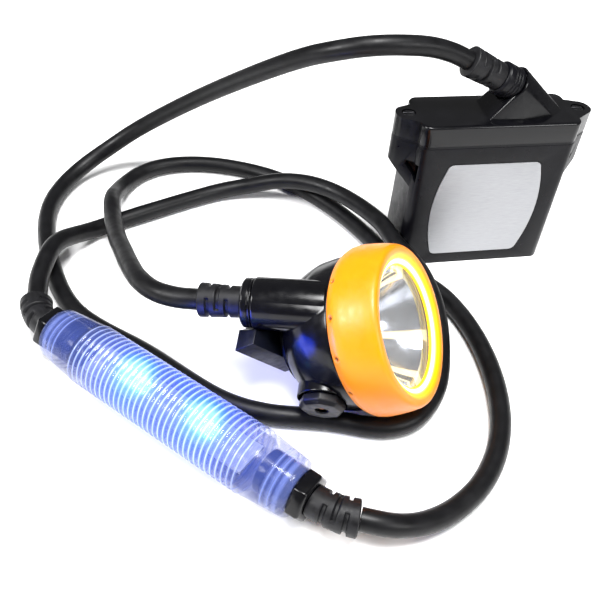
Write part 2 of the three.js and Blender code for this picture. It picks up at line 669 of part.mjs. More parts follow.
function tubeShell() {
  const { half, shoulder, radius, endRadius, bore, threadBore } = TUBE;
  const plain = half - 15;
  const outside = [[endRadius, -half], [endRadius + 0.5, -half + 1], [radius - 0.6, -shoulder - 2], [radius, -shoulder],
    [radius, shoulder], [radius - 0.6, shoulder + 2], [endRadius + 0.5, half - 1], [endRadius, half]];
  const inside = [[threadBore, half], [threadBore, plain], [bore, plain - 3], [bore, -plain + 3],
    [threadBore, -plain], [threadBore, -half]];
  return alongTube(turnedRing([...outside, ...inside], 28));
}

// threaded plug at the +x end: hexagonal head outside, grooved shank inside
function endPlug() {
  const { corner, head, shank, inner, bore, groove, grooveWidth } = PLUG;
  const face = TUBE.half + GAP;
  const hex = turned([[0, face], [corner, face], [corner, face + head - 0.8], [corner - 0.8, face + head],
    [0, face + head]], 6);
  const spindle = turned([[0, inner], [shank, inner], [shank, groove], [shank - 1.3, groove],
    [shank - 1.3, groove + grooveWidth], [shank, groove + grooveWidth], [shank, face + 1], [0, face + 1]], 24);
  return alongTube(cut(join(hex, spindle), rod(bore, inner - 1, face + head + 1, 16)));
}

function sealRing() {
  const { shank, groove, grooveWidth } = PLUG;
  const [low, high] = [groove + 0.35, groove + grooveWidth - 0.35];
  return alongTube(washer(shank - 0.95, shank + 0.08, low, high, 24));
}

function tubeLight() {
  const boardHalf = 40;
  const [boardLow, boardHigh] = [-1.2, 0.4];
  const parts = [
    piece("tube_shell", tubeShell(), COLOR.clear, { rough: 0.1 }),
    piece("tube_board", block([-boardHalf, -7, boardLow], [boardHalf, 7, boardHigh]), COLOR.silver, { rough: 0.4 }),
  ];
  TUBE_LEDS.forEach((x, i) => {
    const led = block([x - 2.5, -2.5, boardHigh + GAP], [x + 2.5, 2.5, boardHigh + 2.2]);
    parts.push(piece(`tube_led_${i + 1}`, led, COLOR.blue));
  });
  for (const [side, turn] of [["left", Math.PI], ["right", 0]]) {
    parts.push(
      piece(`tube_plug_${side}`, endPlug().rotateZ(turn), COLOR.black, { rough: 0.3 }),
      piece(`tube_seal_${side}`, sealRing().rotateZ(turn), COLOR.rubber, { rough: 0.7 }),
    );
  }
  const reliefPlace = TUBE.half + PLUG.head + 2 * GAP;
  const [x, y, z] = [new THREE.Vector3(0, 1, 0), new THREE.Vector3(0, 0, 1), new THREE.Vector3(1, 0, 0)];
  const right = new THREE.Quaternion().setFromRotationMatrix(new THREE.Matrix4().makeBasis(x, y, z));
  const left = new THREE.Quaternion().setFromRotationMatrix(
    new THREE.Matrix4().makeBasis(x, y.clone().negate(), z.clone().negate()));
  parts.push(
    relief("tube_strain_relief_left", [-reliefPlace, 0, 0], left, 44),
    relief("tube_strain_relief_right", [reliefPlace, 0, 0], right, 26),
  );
  const tube = unit(TUBE.place, parts);
  tube.rotation.z = rad(TUBE.yaw);
  return tube;
}

// ---------------------------------------------------------------- the whole lamp

const lamp = new THREE.Group();
lamp.add(
  batteryPack(),
  headpiece(),
  tubeLight(),
  cable("battery_cable", BATTERY_CABLE_ROUTE),
  cable("headpiece_cable", HEAD_CABLE_ROUTE),
);
export default lamp;
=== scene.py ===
"""The looks of a corded cap lamp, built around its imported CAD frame.

Every shape is made in millimetres in the frame of its own unit, and placed in metres.
"""

import json
import math

import bmesh
import bpy
from mathutils import Matrix, Vector


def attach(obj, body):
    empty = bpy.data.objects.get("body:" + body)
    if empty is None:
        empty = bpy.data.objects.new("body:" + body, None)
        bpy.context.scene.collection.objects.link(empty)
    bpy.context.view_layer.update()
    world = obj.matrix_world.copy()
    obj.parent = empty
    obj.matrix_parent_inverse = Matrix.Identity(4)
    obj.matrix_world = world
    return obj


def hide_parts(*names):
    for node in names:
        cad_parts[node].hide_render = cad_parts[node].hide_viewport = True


MM = 0.001

# -------- dimensions from the CAD part, in mm

PACK_PLACE = (76.308, 79.717, 0)
PACK_YAW = 13.7
PACK_WIDTH = 76
PACK_DEPTH = 29
PACK_CORNER = 4.5
CASE_TOP = 66.5
LID_BOTTOM = 67.9
LID_TOP = 77.5
EAR_X = 41
EAR_RADIUS = 6.2
HOOD_X = 5.9
HOOD_Z = 89.6
HOOD_RISE = 26

HEAD_PLACE = (23.108, -24.383, 31.75)
HEAD_YAW = -15
HEAD_ELEVATION = 31
HEAD_ROLL = 22
BARREL_Y = 22.8
BARREL_Z = -7.1
BARREL_TILT = 25
BARREL_LENGTH = 26.2
SWITCH_Y = 4
SWITCH_Z = -13.9
REFLECTOR_FOCUS = 6.2
REFLECTOR_BOTTOM = -4.5
REFLECTOR_MOUTH = 21.4

TUBE_PLACE = (-50.392, -55.083, 13)
TUBE_YAW = -32
TUBE_LED_X = (-14, 20)

RELIEF_LENGTH = 17
CABLE_DIAMETER = 8.5

CAMERA_PLACE = (-4.392, -232.383, 238.3)
CAMERA_RIGHT = (0.9959002, 0.0615309, 0.0663079)
CAMERA_DOWN = (0.0904588, -0.6774206, -0.7300127)
CAMERA_FORWARD = (0, 0.733018, -0.6802093)
CAMERA_LENS = 44.52

BATTERY_CABLE_ROUTE = [
    (58.5, 75.39, 101.41), (51.81, 73.77, 104.6), (41.61, 70.22, 108), (28.61, 65.32, 109.9),
    (14.61, 62.72, 109.3), (0.71, 65.02, 104.9), (-13.79, 72.72, 96.6), (-63.89, 108.22, 55),
    (-100.29, 119.92, 26.5), (-116.39, 116.62, 15), (-128.89, 106.62, 8), (-136.09, 90.32, 4.9),
    (-136.69, 68.72, 4.4), (-123.69, 30.52, 4.4), (-103.19, -0.58, 4.4), (-65.99, -22.78, 4.4),
    (-31.39, -43.68, 4.4), (-14.89, -47.9, 4.4), (10.4, -48.35, 4.4), (29.8, -50, 4.4),
    (38.9, -47.8, 4.4), (46.2, -42.9, 4.4), (55.11, -27.98, 4.4), (58.81, -6.88, 4.9),
    (57.31, 16.42, 10.2), (50.41, 35.62, 15), (40.11, 51.72, 16.4), (31.71, 69.62, 16.5),
    (11.91, 91.82, 15.2), (-4.59, 100.62, 14.5), (-20.89, 104.22, 12), (-37.19, 104.22, 7.2),
    (-53.09, 99.92, 4.75), (-86.09, 76.92, 4.4), (-109.89, 57.02, 5), (-119.79, 36.62, 12.8),
    (-121.29, 27.12, 14.3), (-120.79, 9.62, 13.4), (-119.09, 1.72, 13), (-117.22, -5.71, 13),
]
HEAD_CABLE_ROUTE = [
    (-43.35, -23.37, 39.86), (-52, -22.3, 38.8), (-61.4, -18.4, 37.3), (-69.8, -9.98, 34.8),
    (-77.49, 3.62, 30.4), (-83.89, 17.62, 25.6), (-89.89, 30.62, 21.4), (-94.89, 43.12, 18),
    (-99.19, 55.62, 15.4), (-102.19, 65.82, 14.4), (-104.79, 77.12, 11.2), (-105.49, 88.42, 7.2),
    (-103.89, 99.22, 4.8), (-98.89, 109.62, 4.4), (-90.49, 117.92, 4.4), (-78.39, 123.42, 4.4),
    (-62.89, 125.62, 4.4), (-45.89, 124.22, 4.4), (-27.49, 119.22, 4.4), (-9.99, 109.92, 4.4),
    (6.31, 96.62, 4.4), (19.51, 82.22, 4.4), (28.61, 70.12, 4.4), (35.51, 58.92, 4.4),
    (43.71, 48.62, 4.4), (53.61, 40.62, 4.4), (62.51, 32.02, 4.4), (69.71, 20.62, 4.4),
    (75.51, 6.62, 4.4), (79.51, -9.38, 4.4), (81.31, -26.38, 4.4), (80.31, -43.38, 4.4),
    (75.91, -59.38, 4.4), (68.11, -73.38, 4.4), (57.01, -84.78, 4.9), (45.91, -92.18, 7.4),
    (36.61, -95.98, 10.6), (29.51, -96.98, 12.7), (22.99, -96.23, 13),
]


# -------- frames of the three units


def axis_turn(degrees, axis):
    return Matrix.Rotation(math.radians(degrees), 4, axis)


def columns(x, y, z):
    return Matrix((x, y, z)).transposed().to_4x4()


def placed(place, turn):
    return Matrix.Translation(place) @ turn


PACK_FRAME = placed(PACK_PLACE, axis_turn(PACK_YAW, "Z"))
HEAD_FRAME = placed(
    HEAD_PLACE,
    axis_turn(HEAD_YAW, "Z")
    @ axis_turn(-HEAD_ELEVATION, "Y")
    @ axis_turn(HEAD_ROLL, "X")
    @ columns((0, 1, 0), (0, 0, 1), (1, 0, 0)),
)
TUBE_FRAME = placed(TUBE_PLACE, axis_turn(TUBE_YAW, "Z"))


def hood_frame(distance=0):
    """z leaves the pack along its gland, from a distance beyond the hood's mouth."""
    rise = math.radians(HOOD_RISE)
    z = Vector((-math.cos(rise), 0, math.sin(rise)))
    y = Vector((0, 1, 0))
    place = Vector((HOOD_X, 0, HOOD_Z)) + z * distance
    return PACK_FRAME @ placed(place, columns(y.cross(z), y, z))


def barrel_frame(distance=0):
    """z leaves the headpiece along its cable barrel."""
    tilt = math.radians(BARREL_TILT)
    z = Vector((0, math.sin(tilt), -math.cos(tilt)))
    x = Vector((-1, 0, 0))
    place = Vector((0, BARREL_Y, BARREL_Z)) + z * distance
    return HEAD_FRAME @ placed(place, columns(x, z.cross(x), z))


def switch_frame():
    """z leaves the headpiece through its switch."""
    place = (0, SWITCH_Y, SWITCH_Z)
    return HEAD_FRAME @ placed(place, columns((0, 0, 1), (0, 1, 0), (-1, 0, 0)))


def tube_end_frame(side, distance=0):
    """z leaves the tube at one end, x is the way its cable bends."""
    if side == "right":
        turn = columns((0, 1, 0), (0, 0, 1), (1, 0, 0))
        return TUBE_FRAME @ placed((distance, 0, 0), turn)
    turn = columns((0, 1, 0), (0, 0, -1), (-1, 0, 0))
    return TUBE_FRAME @ placed((-distance, 0, 0), turn)


# -------- mesh helpers

SHARP = 38


def shade(mesh, sharp=SHARP):
    mesh.shade_smooth()
    mesh.set_sharp_from_angle(angle=math.radians(sharp))


def linked(name, data):
    """A new object in the scene's collection."""
    piece = bpy.data.objects.new(name, data)
    bpy.context.scene.collection.objects.link(piece)
    return piece


def build(name, vertices, faces, place=Matrix.Identity(4), sharp=SHARP):
    """A new piece from vertices in mm in a frame, with its faces turned out."""
    mesh = bpy.data.meshes.new(name)
    mesh.from_pydata([place @ Vector(v) * MM for v in vertices], [], faces)
    shape = bmesh.new()
    shape.from_mesh(mesh)
    bmesh.ops.recalc_face_normals(shape, faces=shape.faces)
    shape.to_mesh(mesh)
    shape.free()
    shade(mesh, sharp)
    return linked(name, mesh)


def rounded(profile, radius, steps=4):
    """The profile with each inner corner replaced by an arc."""
    points = [Vector(p) for p in profile]
    result = [tuple(points[0])]
    for before, corner, after in zip(points, points[1:], points[2:]):
        back, ahead = before - corner, after - corner
        reach = min(radius, 0.45 * back.length, 0.45 * ahead.length)
        start = corner + back.normalized() * reach
        end = corner + ahead.normalized() * reach
        for i in range(steps + 1):
            t = i / steps
            point = start * (1 - t) ** 2 + corner * 2 * t * (1 - t) + end * t**2
            result.append(tuple(point))
    result.append(tuple(points[-1]))
    return result


def lathe(name, profile, place, sides=96, closed=False, warp=None, sharp=SHARP):
    """A turned piece about z from (radius, height) pairs. warp moves each point by its angle."""
    vertices, rings = [], []
    for radius, height in profile:
        first = len(vertices)
        if radius < 1e-6:
            vertices.append((0, 0, height))
            rings.append([first] * sides)
            continue
        for i in range(sides):
            angle = 2 * math.pi * i / sides
            r, z = warp(radius, height, angle) if warp else (radius, height)
            vertices.append((r * math.cos(angle), r * math.sin(angle), z))
        rings.append(list(range(first, first + sides)))
    pairs = list(zip(rings, rings[1:]))
    if closed:
        pairs.append((rings[-1], rings[0]))
    faces = []
    for low, high in pairs:
        for i in range(sides):
            j = (i + 1) % sides
            face = list(dict.fromkeys((low[i], low[j], high[j], high[i])))
            if len(face) > 2:
                faces.append(face)
    return build(name, vertices, faces, place, sharp)


def rod(radius, low, high):
    return [(0, low), (radius, low), (radius, high), (0, high)]


def prism(name, outline, low, high, place):
    """An outline in x and y drawn up from one height to another."""
    count = len(outline)
    vertices = [(x, y, low) for x, y in outline] + [(x, y, high) for x, y in outline]
    faces = [list(range(count))[::-1], list(range(count, 2 * count))]
    for i in range(count):
        j = (i + 1) % count
        faces.append([i, j, count + j, count + i])
    return build(name, vertices, faces, place)


def arc(x, y, radius, start, end, steps=8):
    angles = [math.radians(start + (end - start) * i / steps) for i in range(steps + 1)]
    return [(x + radius * math.cos(a), y + radius * math.sin(a)) for a in angles]


def rounded_rectangle(width, depth, corner, steps=8):
    x, y = width / 2 - corner, depth / 2 - corner
    return (
        arc(x, -y, corner, -90, 0, steps)
        + arc(x, y, corner, 0, 90, steps)
        + arc(-x, y, corner, 90, 180, steps)
        + arc(-x, -y, corner, 180, 270, steps)
    )


def apply_modifiers(piece):
    graph = bpy.context.evaluated_depsgraph_get()
    mesh = bpy.data.meshes.new_from_object(piece.evaluated_get(graph))
    piece.modifiers.clear()
    piece.data = mesh


def combine(piece, tool, operation):
    modifier = piece.modifiers.new("combine", "BOOLEAN")
    modifier.operation = operation
    modifier.solver = "EXACT"
    modifier.object = tool
    apply_modifiers(piece)
    bpy.data.objects.remove(tool)


def joined(piece, *tools):
    for tool in tools:
        combine(piece, tool, "UNION")
    shade(piece.data)
    return piece


def cut(piece, *tools):
    for tool in tools:
        combine(piece, tool, "DIFFERENCE")
    shade(piece.data)


def cleaned(mesh, flat=2):
    """Merges doubled corners and the flat faces of a triangulated mesh."""
    shape = bmesh.new()
    shape.from_mesh(mesh)
    bmesh.ops.remove_doubles(shape, verts=shape.verts, dist=2e-6)
    bmesh.ops.dissolve_limit(
        shape, angle_limit=math.radians(flat), verts=shape.verts, edges=shape.edges
    )
    shape.to_mesh(mesh)
    shape.free()


def bevelled(piece, width, segments, angle):
    modifier = piece.modifiers.new("bevel", "BEVEL")
    modifier.width = width * MM
    modifier.segments = segments
    modifier.limit_method = "ANGLE"
    modifier.angle_limit = math.radians(angle)
    modifier.miter_outer = "MITER_ARC"
    modifier.use_clamp_overlap = True
    apply_modifiers(piece)
    shade(piece.data, 50)
    return piece


def refined(node, width, name, segments, angle):
    """A copy of a CAD node with its sharp edges rounded off."""
    mesh = frame["nodes"][node].data.copy()
    mesh.materials.clear()
    cleaned(mesh)
    return bevelled(linked(name, mesh), width, segments, angle)


def finish_piece(piece, slot, node, body="lamp", look=None):
    """Gives the piece its body and the look of its slot or the given look, and hides the CAD node that it
    stands for.
    """
    piece.data.materials.clear()
    piece.data.materials.append(looks[look or slot])
    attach(piece, body)
    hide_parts(node)


def paint(piece, name, value, place):
    """A number at each vertex, from where it is in a frame in mm."""
    layer = piece.data.attributes.new(name, "FLOAT", "POINT")
    back = place.inverted()
    for vertex, item in zip(piece.data.vertices, layer.data):
        item.value = value(back @ (vertex.co / MM))


# -------- material helpers

SOCKET_NAMES = {"ior": "IOR", "specular_ior_level": "Specular IOR Level"}


def socket_name(word):
    return SOCKET_NAMES.get(word, word.replace("_", " ").title())


class Look:
    """A node material: one principled shader, with patterns added to its sockets."""

    def __init__(self, name, **sockets):
        self.material = bpy.data.materials.new(name)
        self.material.use_nodes = True
        self.nodes = self.material.node_tree.nodes
        self.links = self.material.node_tree.links
        self.shader = self.nodes["Principled BSDF"]
        self.normal = None
        for word, value in sockets.items():
            self.shader.inputs[socket_name(word)].default_value = value

    def place(self, stretch=(1, 1, 1)):
        where = self.nodes.new("ShaderNodeTexCoord")
        mapping = self.nodes.new("ShaderNodeMapping")
        mapping.inputs["Scale"].default_value = stretch
        self.links.new(where.outputs["Object"], mapping.inputs["Vector"])
        return mapping.outputs["Vector"]

    def noise(self, size, detail=3, stretch=(1, 1, 1), distortion=0):
        """Cloudy noise whose patches are about size mm across."""
        node = self.nodes.new("ShaderNodeTexNoise")
        node.inputs["Scale"].default_value = 1 / (size * MM)
        node.inputs["Detail"].default_value = detail
        node.inputs["Distortion"].default_value = distortion
        self.links.new(self.place(stretch), node.inputs["Vector"])
        return node.outputs["Fac"]

    def attribute(self, name):
        node = self.nodes.new("ShaderNodeAttribute")
        node.attribute_name = name
        return node.outputs["Fac"]

    def between(self, value, low, high, start=0.3, end=0.7):
        node = self.nodes.new("ShaderNodeMapRange")
        node.inputs["From Min"].default_value = start
        node.inputs["From Max"].default_value = end
        node.inputs["To Min"].default_value = low
        node.inputs["To Max"].default_value = high
        self.links.new(value, node.inputs["Value"])
        return node.outputs["Result"]

    def ramp(self, value, *stops):
        node = self.nodes.new("ShaderNodeValToRGB")
        elements = node.color_ramp.elements
        while len(elements) < len(stops):
            elements.new(0.5)
        for element, (at, colour) in zip(elements, stops):
            element.position = at
            element.color = (*colour, 1)
        self.links.new(value, node.inputs["Fac"])
        return node.outputs["Color"]

    def mixed(self, share, first, second):
        """The first colour, turned into the plain second one by a share from 0 to 1."""
        node = self.nodes.new("ShaderNodeMix")
        node.data_type = "RGBA"
        self.links.new(share, node.inputs["Factor"])
        self.links.new(first, node.inputs[6])
        node.inputs[7].default_value = (*second, 1)
        return node.outputs[2]

    def to(self, word, output):
        self.links.new(output, self.shader.inputs[socket_name(word)])

    def colour(self, value, *stops):
        self.to("base_color", self.ramp(value, *stops))

    def rough(self, value, low, high):
        self.to("roughness", self.between(value, low, high))

    def bump(self, value, height, strength=1):
        """Raises the surface by up to height mm."""
        node = self.nodes.new("ShaderNodeBump")
        node.inputs["Distance"].default_value = height * MM
        node.inputs["Strength"].default_value = strength
        self.links.new(value, node.inputs["Height"])
        if self.normal:
            self.links.new(self.normal, node.inputs["Normal"])
        self.normal = node.outputs["Normal"]
        self.to("normal", self.normal)


def black_gloss_plastic():
    look = Look("black_gloss_plastic", specular_ior_level=0.3)
    look.colour(look.noise(9, 4), (0.3, (0.0012, 0.0012, 0.0018)), (0.75, (0.003, 0.003, 0.004)))
    look.rough(look.noise(3.5, 6), 0.13, 0.26)
    look.bump(look.noise(2.2, 2), 0.012, 0.5)
    return look.material


def case_plastic():
    look = Look("case_plastic", specular_ior_level=0.16)
    look.colour(look.noise(12, 4), (0.3, (0.0015, 0.0015, 0.0025)), (0.8, (0.004, 0.004, 0.006)))
    look.rough(look.noise(4, 6), 0.26, 0.40)
    look.bump(look.noise(0.35, 3), 0.01, 0.45)
    return look.material


def matte_plastic(name, dark, light, rough):
    look = Look(name, specular_ior_level=0.2)
    look.colour(look.noise(6, 4), (0.3, dark), (0.75, light))
    look.rough(look.noise(2, 5), rough - 0.08, rough + 0.1)
    look.bump(look.noise(0.3, 3), 0.02, 0.5)
    return look.material


def cable_rubber():
    look = Look("cable_rubber", specular_ior_level=0.22)
    look.colour(look.noise(7, 5), (0.3, (0.0018, 0.0018, 0.0022)), (0.8, (0.005, 0.005, 0.006)))
    look.rough(look.noise(4, 5), 0.34, 0.5)
    look.bump(look.noise(0.5, 4), 0.02, 0.6)
    look.bump(look.noise(6, 2), 0.05, 0.35)
    return look.material


def relief_rubber():
    look = Look("relief_rubber", specular_ior_level=0.25)
    look.colour(look.noise(3, 5), (0.3, (0.003, 0.003, 0.0036)), (0.8, (0.009, 0.009, 0.011)))
    look.rough(look.noise(1.5, 5), 0.4, 0.58)
    look.bump(look.noise(0.4, 4), 0.03, 0.7)
    return look.material


def seal_rubber():
    look = Look("seal_rubber", specular_ior_level=0.35)
    look.colour(look.noise(2, 4), (0.3, (0.002, 0.002, 0.003)), (0.8, (0.007, 0.007, 0.008)))
    look.rough(look.noise(1, 4), 0.4, 0.6)
    look.bump(look.noise(0.4, 3), 0.02, 0.5)
    return look.material


def amber_plastic():
    """Moulded amber plastic, darkened by painted shade in its pits, with a painted glow of the lamp's
    light round the opening.
    """
    look = Look(
        "amber_plastic",
        specular_ior_level=0.4,
        subsurface_weight=0.1,
        subsurface_scale=0.003,
        subsurface_radius=(1.0, 0.4, 0.05),
        emission_strength=1.0,
    )
    cloud = look.ramp(look.noise(14, 3), (0.25, (0.76, 0.2, 0.0)), (0.8, (0.84, 0.245, 0.0)))
    # Painted shade: the colour turns dark brown inside the pits.
    look.to("base_color", look.mixed(look.attribute("pit_shade"), cloud, (0.12, 0.03, 0.0)))
    look.rough(look.noise(2.5, 5), 0.32, 0.46)
    look.bump(look.noise(0.5, 3), 0.012, 0.4)
    glow = look.ramp(
        look.attribute("glow"),
        (0, (0, 0, 0)),
        (0.12, (0.06, 0.02, 0)),
        (0.5, (1.0, 0.62, 0)),
        (0.68, (1.3, 1.25, 0.02)),
        (0.85, (1.6, 1.6, 0.4)),
        (1, (2.2, 2.2, 1.9)),
    )
    # Painted glow: the lamp's light in the lip, given as emission.
    look.to("emission_color", glow)
    return look.material


def clear_lens():
    look = Look("clear_lens", ior=1.49, specular_ior_level=0.5)
    look.colour(look.noise(15, 2), (0.3, (0.9, 0.92, 0.95)), (0.7, (1, 1, 1)))
    look.rough(look.noise(5, 4), 0.01, 0.05)
    look.to("alpha", look.between(look.noise(20, 2), 0.05, 0.09))
    return look.material


def reflector_metal():
    """Vapour-coated mirror with warm streaks of painted reflection, those of the lit ring, and painted
    light on its flange.
    """
    look = Look("reflector_metal", metallic=1.0, emission_strength=1.0)
    look.colour(look.noise(6, 3), (0.3, (0.22, 0.235, 0.27)), (0.7, (0.44, 0.47, 0.54)))
    look.rough(look.noise(3, 4), 0.1, 0.24)
    look.bump(look.noise(3, 2), 0.03, 0.3)
    # Painted reflection streaks and flange light, given as emission.
    reflection_streak = look.ramp(
        look.attribute("reflection_streak"),
        (0, (0, 0, 0)),
        (0.35, (0.25, 0.16, 0.03)),
        (0.6, (0.95, 0.72, 0.28)),
        (1, (1.0, 0.90, 0.58)),
    )
    look.to("emission_color", reflection_streak)
    return look.material


def clear_tube():
    """Clear ribbed plastic with painted highlights on its ribs and threads, tinted by painted blue light
    from inside and brightest over the two emitters.
    """
    look = Look("clear_tube", ior=1.49, specular_ior_level=0.5, emission_strength=1.0)
    # Painted highlights: rib crests and threads turn pale blue-white.
    rib_highlight = look.ramp(
        look.attribute("rib_highlight"),
        (0, (0.035, 0.06, 0.26)),
        (0.5, (0.14, 0.19, 0.50)),
        (1, (0.42, 0.50, 0.80)),
    )
    look.to("base_color", look.mixed(look.between(look.noise(10, 3), 0, 0.25), rib_highlight, (0.08, 0.11, 0.40)))
    look.rough(look.noise(4, 4), 0.08, 0.2)
    # Painted blue glow of the emitters' light in the shell, given as emission.
    haze = look.ramp(
        look.attribute("glow"),
        (0, (0, 0, 0)),
        (0.25, (0.008, 0.02, 0.14)),
        (0.5, (0.015, 0.09, 0.42)),
        (0.75, (0.03, 0.34, 0.62)),
        (1, (0.30, 0.85, 0.95)),
    )
    look.to("emission_color", haze)
    look.to("alpha", look.attribute("cover"))
    return look.material


def brushed_label():
    look = Look("brushed_label", metallic=0.8)
    lines = look.noise(0.25, 4, stretch=(0.06, 0.06, 1))
    look.colour(lines, (0.25, (0.29, 0.295, 0.31)), (0.8, (0.38, 0.385, 0.40)))
    look.rough(lines, 0.36, 0.5)
    look.bump(lines, 0.008, 0.4)
    return look.material


def bare_metal(name, dark, light):
    look = Look(name, metallic=1.0)
    look.colour(look.noise(2, 5), (0.3, dark), (0.75, light))
    look.rough(look.noise(1, 5), 0.25, 0.40)
    look.bump(look.noise(0.2, 3), 0.006, 0.4)
    return look.material


def circuit_board():
    look = Look("circuit_board")
    tracks = look.noise(1.2, 2, distortion=1.5)
    look.colour(tracks, (0.46, (0.01, 0.07, 0.03)), (0.52, (0.02, 0.14, 0.06)))
    look.rough(look.noise(2, 3), 0.3, 0.45)
    look.bump(tracks, 0.03, 0.6)
    return look.material


def cell_sleeve():
    look = Look("cell_sleeve", coat_weight=0.3)
    look.colour(look.noise(8, 4), (0.3, (0.03, 0.12, 0.30)), (0.7, (0.05, 0.18, 0.40)))
    look.rough(look.noise(3, 4), 0.3, 0.42)
    look.bump(look.noise(5, 3), 0.04, 0.3)
    return look.material


def emitter(name, dim, bright, strength):
    look = Look(name, emission_strength=strength)
    look.colour(look.noise(0.6, 3), (0.3, dim), (0.7, bright))
    look.to("emission_color", look.ramp(look.noise(0.6, 3), (0.3, dim), (0.7, bright)))
    look.rough(look.noise(0.5, 3), 0.3, 0.5)
    return look.material


def white_board():
    look = Look("white_board")
    look.colour(look.noise(5, 4), (0.3, (0.55, 0.58, 0.66)), (0.7, (0.72, 0.75, 0.82)))
    look.rough(look.noise(2, 4), 0.35, 0.5)
    look.bump(look.noise(0.8, 3), 0.02, 0.4)
    return look.material


def make_looks():
    return {
        "black_case": case_plastic(),
        "black_gloss": black_gloss_plastic(),
        "black_matte": matte_plastic("clip_plastic", (0.002, 0.0025, 0.005), (0.006, 0.007, 0.013), 0.36),
        "grey_plastic": matte_plastic("grey_plastic", (0.003, 0.003, 0.004), (0.008, 0.008, 0.010), 0.36),
        "amber": amber_plastic(),
        "clear_lens": clear_lens(),
        "clear_tube": clear_tube(),
        "mirror": reflector_metal(),
        "rubber_seal": seal_rubber(),
        "relief_rubber": relief_rubber(),
        "cable_rubber": cable_rubber(),
        "label": brushed_label(),
        "steel": bare_metal("steel", (0.05, 0.05, 0.055), (0.12, 0.12, 0.13)),
        "nickel": bare_metal("nickel", (0.42, 0.40, 0.36), (0.60, 0.58, 0.52)),
        "aluminium": white_board(),
        "brass": bare_metal("brass", (0.30, 0.12, 0.05), (0.55, 0.28, 0.12)),
        "board": circuit_board(),
        "cell_sleeve": cell_sleeve(),
        "emitter": emitter("main_emitter", (1.0, 0.85, 0.5), (1.0, 0.97, 0.85), 9),
        "blue_emitter": emitter("blue_emitter", (0.05, 0.5, 1.0), (0.3, 0.9, 1.0), 8),
    }


# -------- camera, light and floor


def make_camera():
    data = bpy.data.cameras.new("camera")
    data.lens = CAMERA_LENS
    data.sensor_width = 36
    data.clip_start = 0.01
    camera = linked("camera", data)
    right, down, forward = Vector(CAMERA_RIGHT), Vector(CAMERA_DOWN), Vector(CAMERA_FORWARD)
    camera.matrix_world = placed(Vector(CAMERA_PLACE) * MM, columns(right, -down, -forward))
    bpy.context.scene.camera = camera


WORLD_STRENGTH = 0.2
WHITE = (1, 1, 1)
TUBE_BLUE = (0.005, 0.05, 1)
# Name, place, target and width in metres, power in watts, colour. tube_glow stands in for the light
# that the blue emitters throw on the headpiece.
LIGHTS = (
    ("key", (-0.8, -0.35, 0.75), (0, 0, 0.02), 0.4, 13, WHITE),
    ("top", (0.05, -0.2, 1.2), (0, 0, 0), 0.55, 26, WHITE),
    ("fill", (0.9, -0.6, 0.7), (0, 0, 0.03), 0.5, 7, WHITE),
    ("tube_glow", (-0.045, -0.058, 0.032), (0.02, -0.03, 0.03), 0.03, 0.045, TUBE_BLUE),
)
FLOOR_HALF = 3000


def soft_light(name, place, target, size, power, colour):
    data = bpy.data.lights.new(name, "AREA")
    data.shape = "DISK"
    data.size = size
    data.energy = power
    data.color = colour
    light = linked(name, data)
    light.location = place
    aim = (Vector(target) - Vector(place)).to_track_quat("-Z", "Y")
    light.rotation_euler = aim.to_euler()
    light.visible_camera = False


def make_lights():
    bpy.context.scene.view_settings.view_transform = "Standard"
    world = bpy.data.worlds.new("world")
    world.use_nodes = True
    background = world.node_tree.nodes["Background"]
    background.inputs["Color"].default_value = (*WHITE, 1)
    background.inputs["Strength"].default_value = WORLD_STRENGTH
    bpy.context.scene.world = world
    for light in LIGHTS:
        soft_light(*light)


def make_floor():
    corners = [(x * FLOOR_HALF, y * FLOOR_HALF, 0) for x, y in ((-1, -1), (1, -1), (1, 1), (-1, 1))]
    floor = build("floor", corners, [(0, 1, 2, 3)])
    look = Look("floor_paper", specular_ior_level=0.1)
    look.colour(look.noise(200, 2), (0.3, (0.90, 0.90, 0.90)), (0.7, (0.92, 0.92, 0.92)))
    look.rough(look.noise(50, 2), 0.85, 0.95)
    floor.data.materials.append(look.material)


# -------- cables


def smooth_route(points, step=3.0):
    """Points about step mm apart on a centripetal curve through the given ones."""
    route = [Vector(p) for p in points]
    route = [2 * route[0] - route[1], *route, 2 * route[-1] - route[-2]]
    result = []
    for p0, p1, p2, p3 in zip(route, route[1:], route[2:], route[3:]):
        knots = [0]
        for a, b in ((p0, p1), (p1, p2), (p2, p3)):
            knots.append(knots[-1] + (b - a).length ** 0.5)
        t0, t1, t2, t3 = knots
        count = max(2, round((p2 - p1).length / step))
        for i in range(count):
            t = t1 + (t2 - t1) * i / count
            a1 = p0 * (t1 - t) / (t1 - t0) + p1 * (t - t0) / (t1 - t0)
            a2 = p1 * (t2 - t) / (t2 - t1) + p2 * (t - t1) / (t2 - t1)
            a3 = p2 * (t3 - t) / (t3 - t2) + p3 * (t - t2) / (t3 - t2)
            b1 = a1 * (t2 - t) / (t2 - t0) + a2 * (t - t0) / (t2 - t0)
            b2 = a2 * (t3 - t) / (t3 - t1) + a3 * (t - t1) / (t3 - t1)
            result.append(b1 * (t2 - t) / (t2 - t1) + b2 * (t - t1) / (t2 - t1))
    result.append(route[-2])
    return result


def make_cable(name, route, node):
    points = smooth_route(route)
    data = bpy.data.curves.new(name, "CURVE")
    data.dimensions = "3D"
    data.bevel_depth = CABLE_DIAMETER / 2 * MM
    data.bevel_resolution = 6
    data.use_fill_caps = True
    spline = data.splines.new("POLY")
    spline.points.add(len(points) - 1)
    for item, point in zip(spline.points, points):
        item.co = (*(point * MM), 1)
    spline.use_smooth = True
    cable = linked(name, data)
    finish_piece(cable, "cable_rubber", node)


# -------- strain reliefs and glands

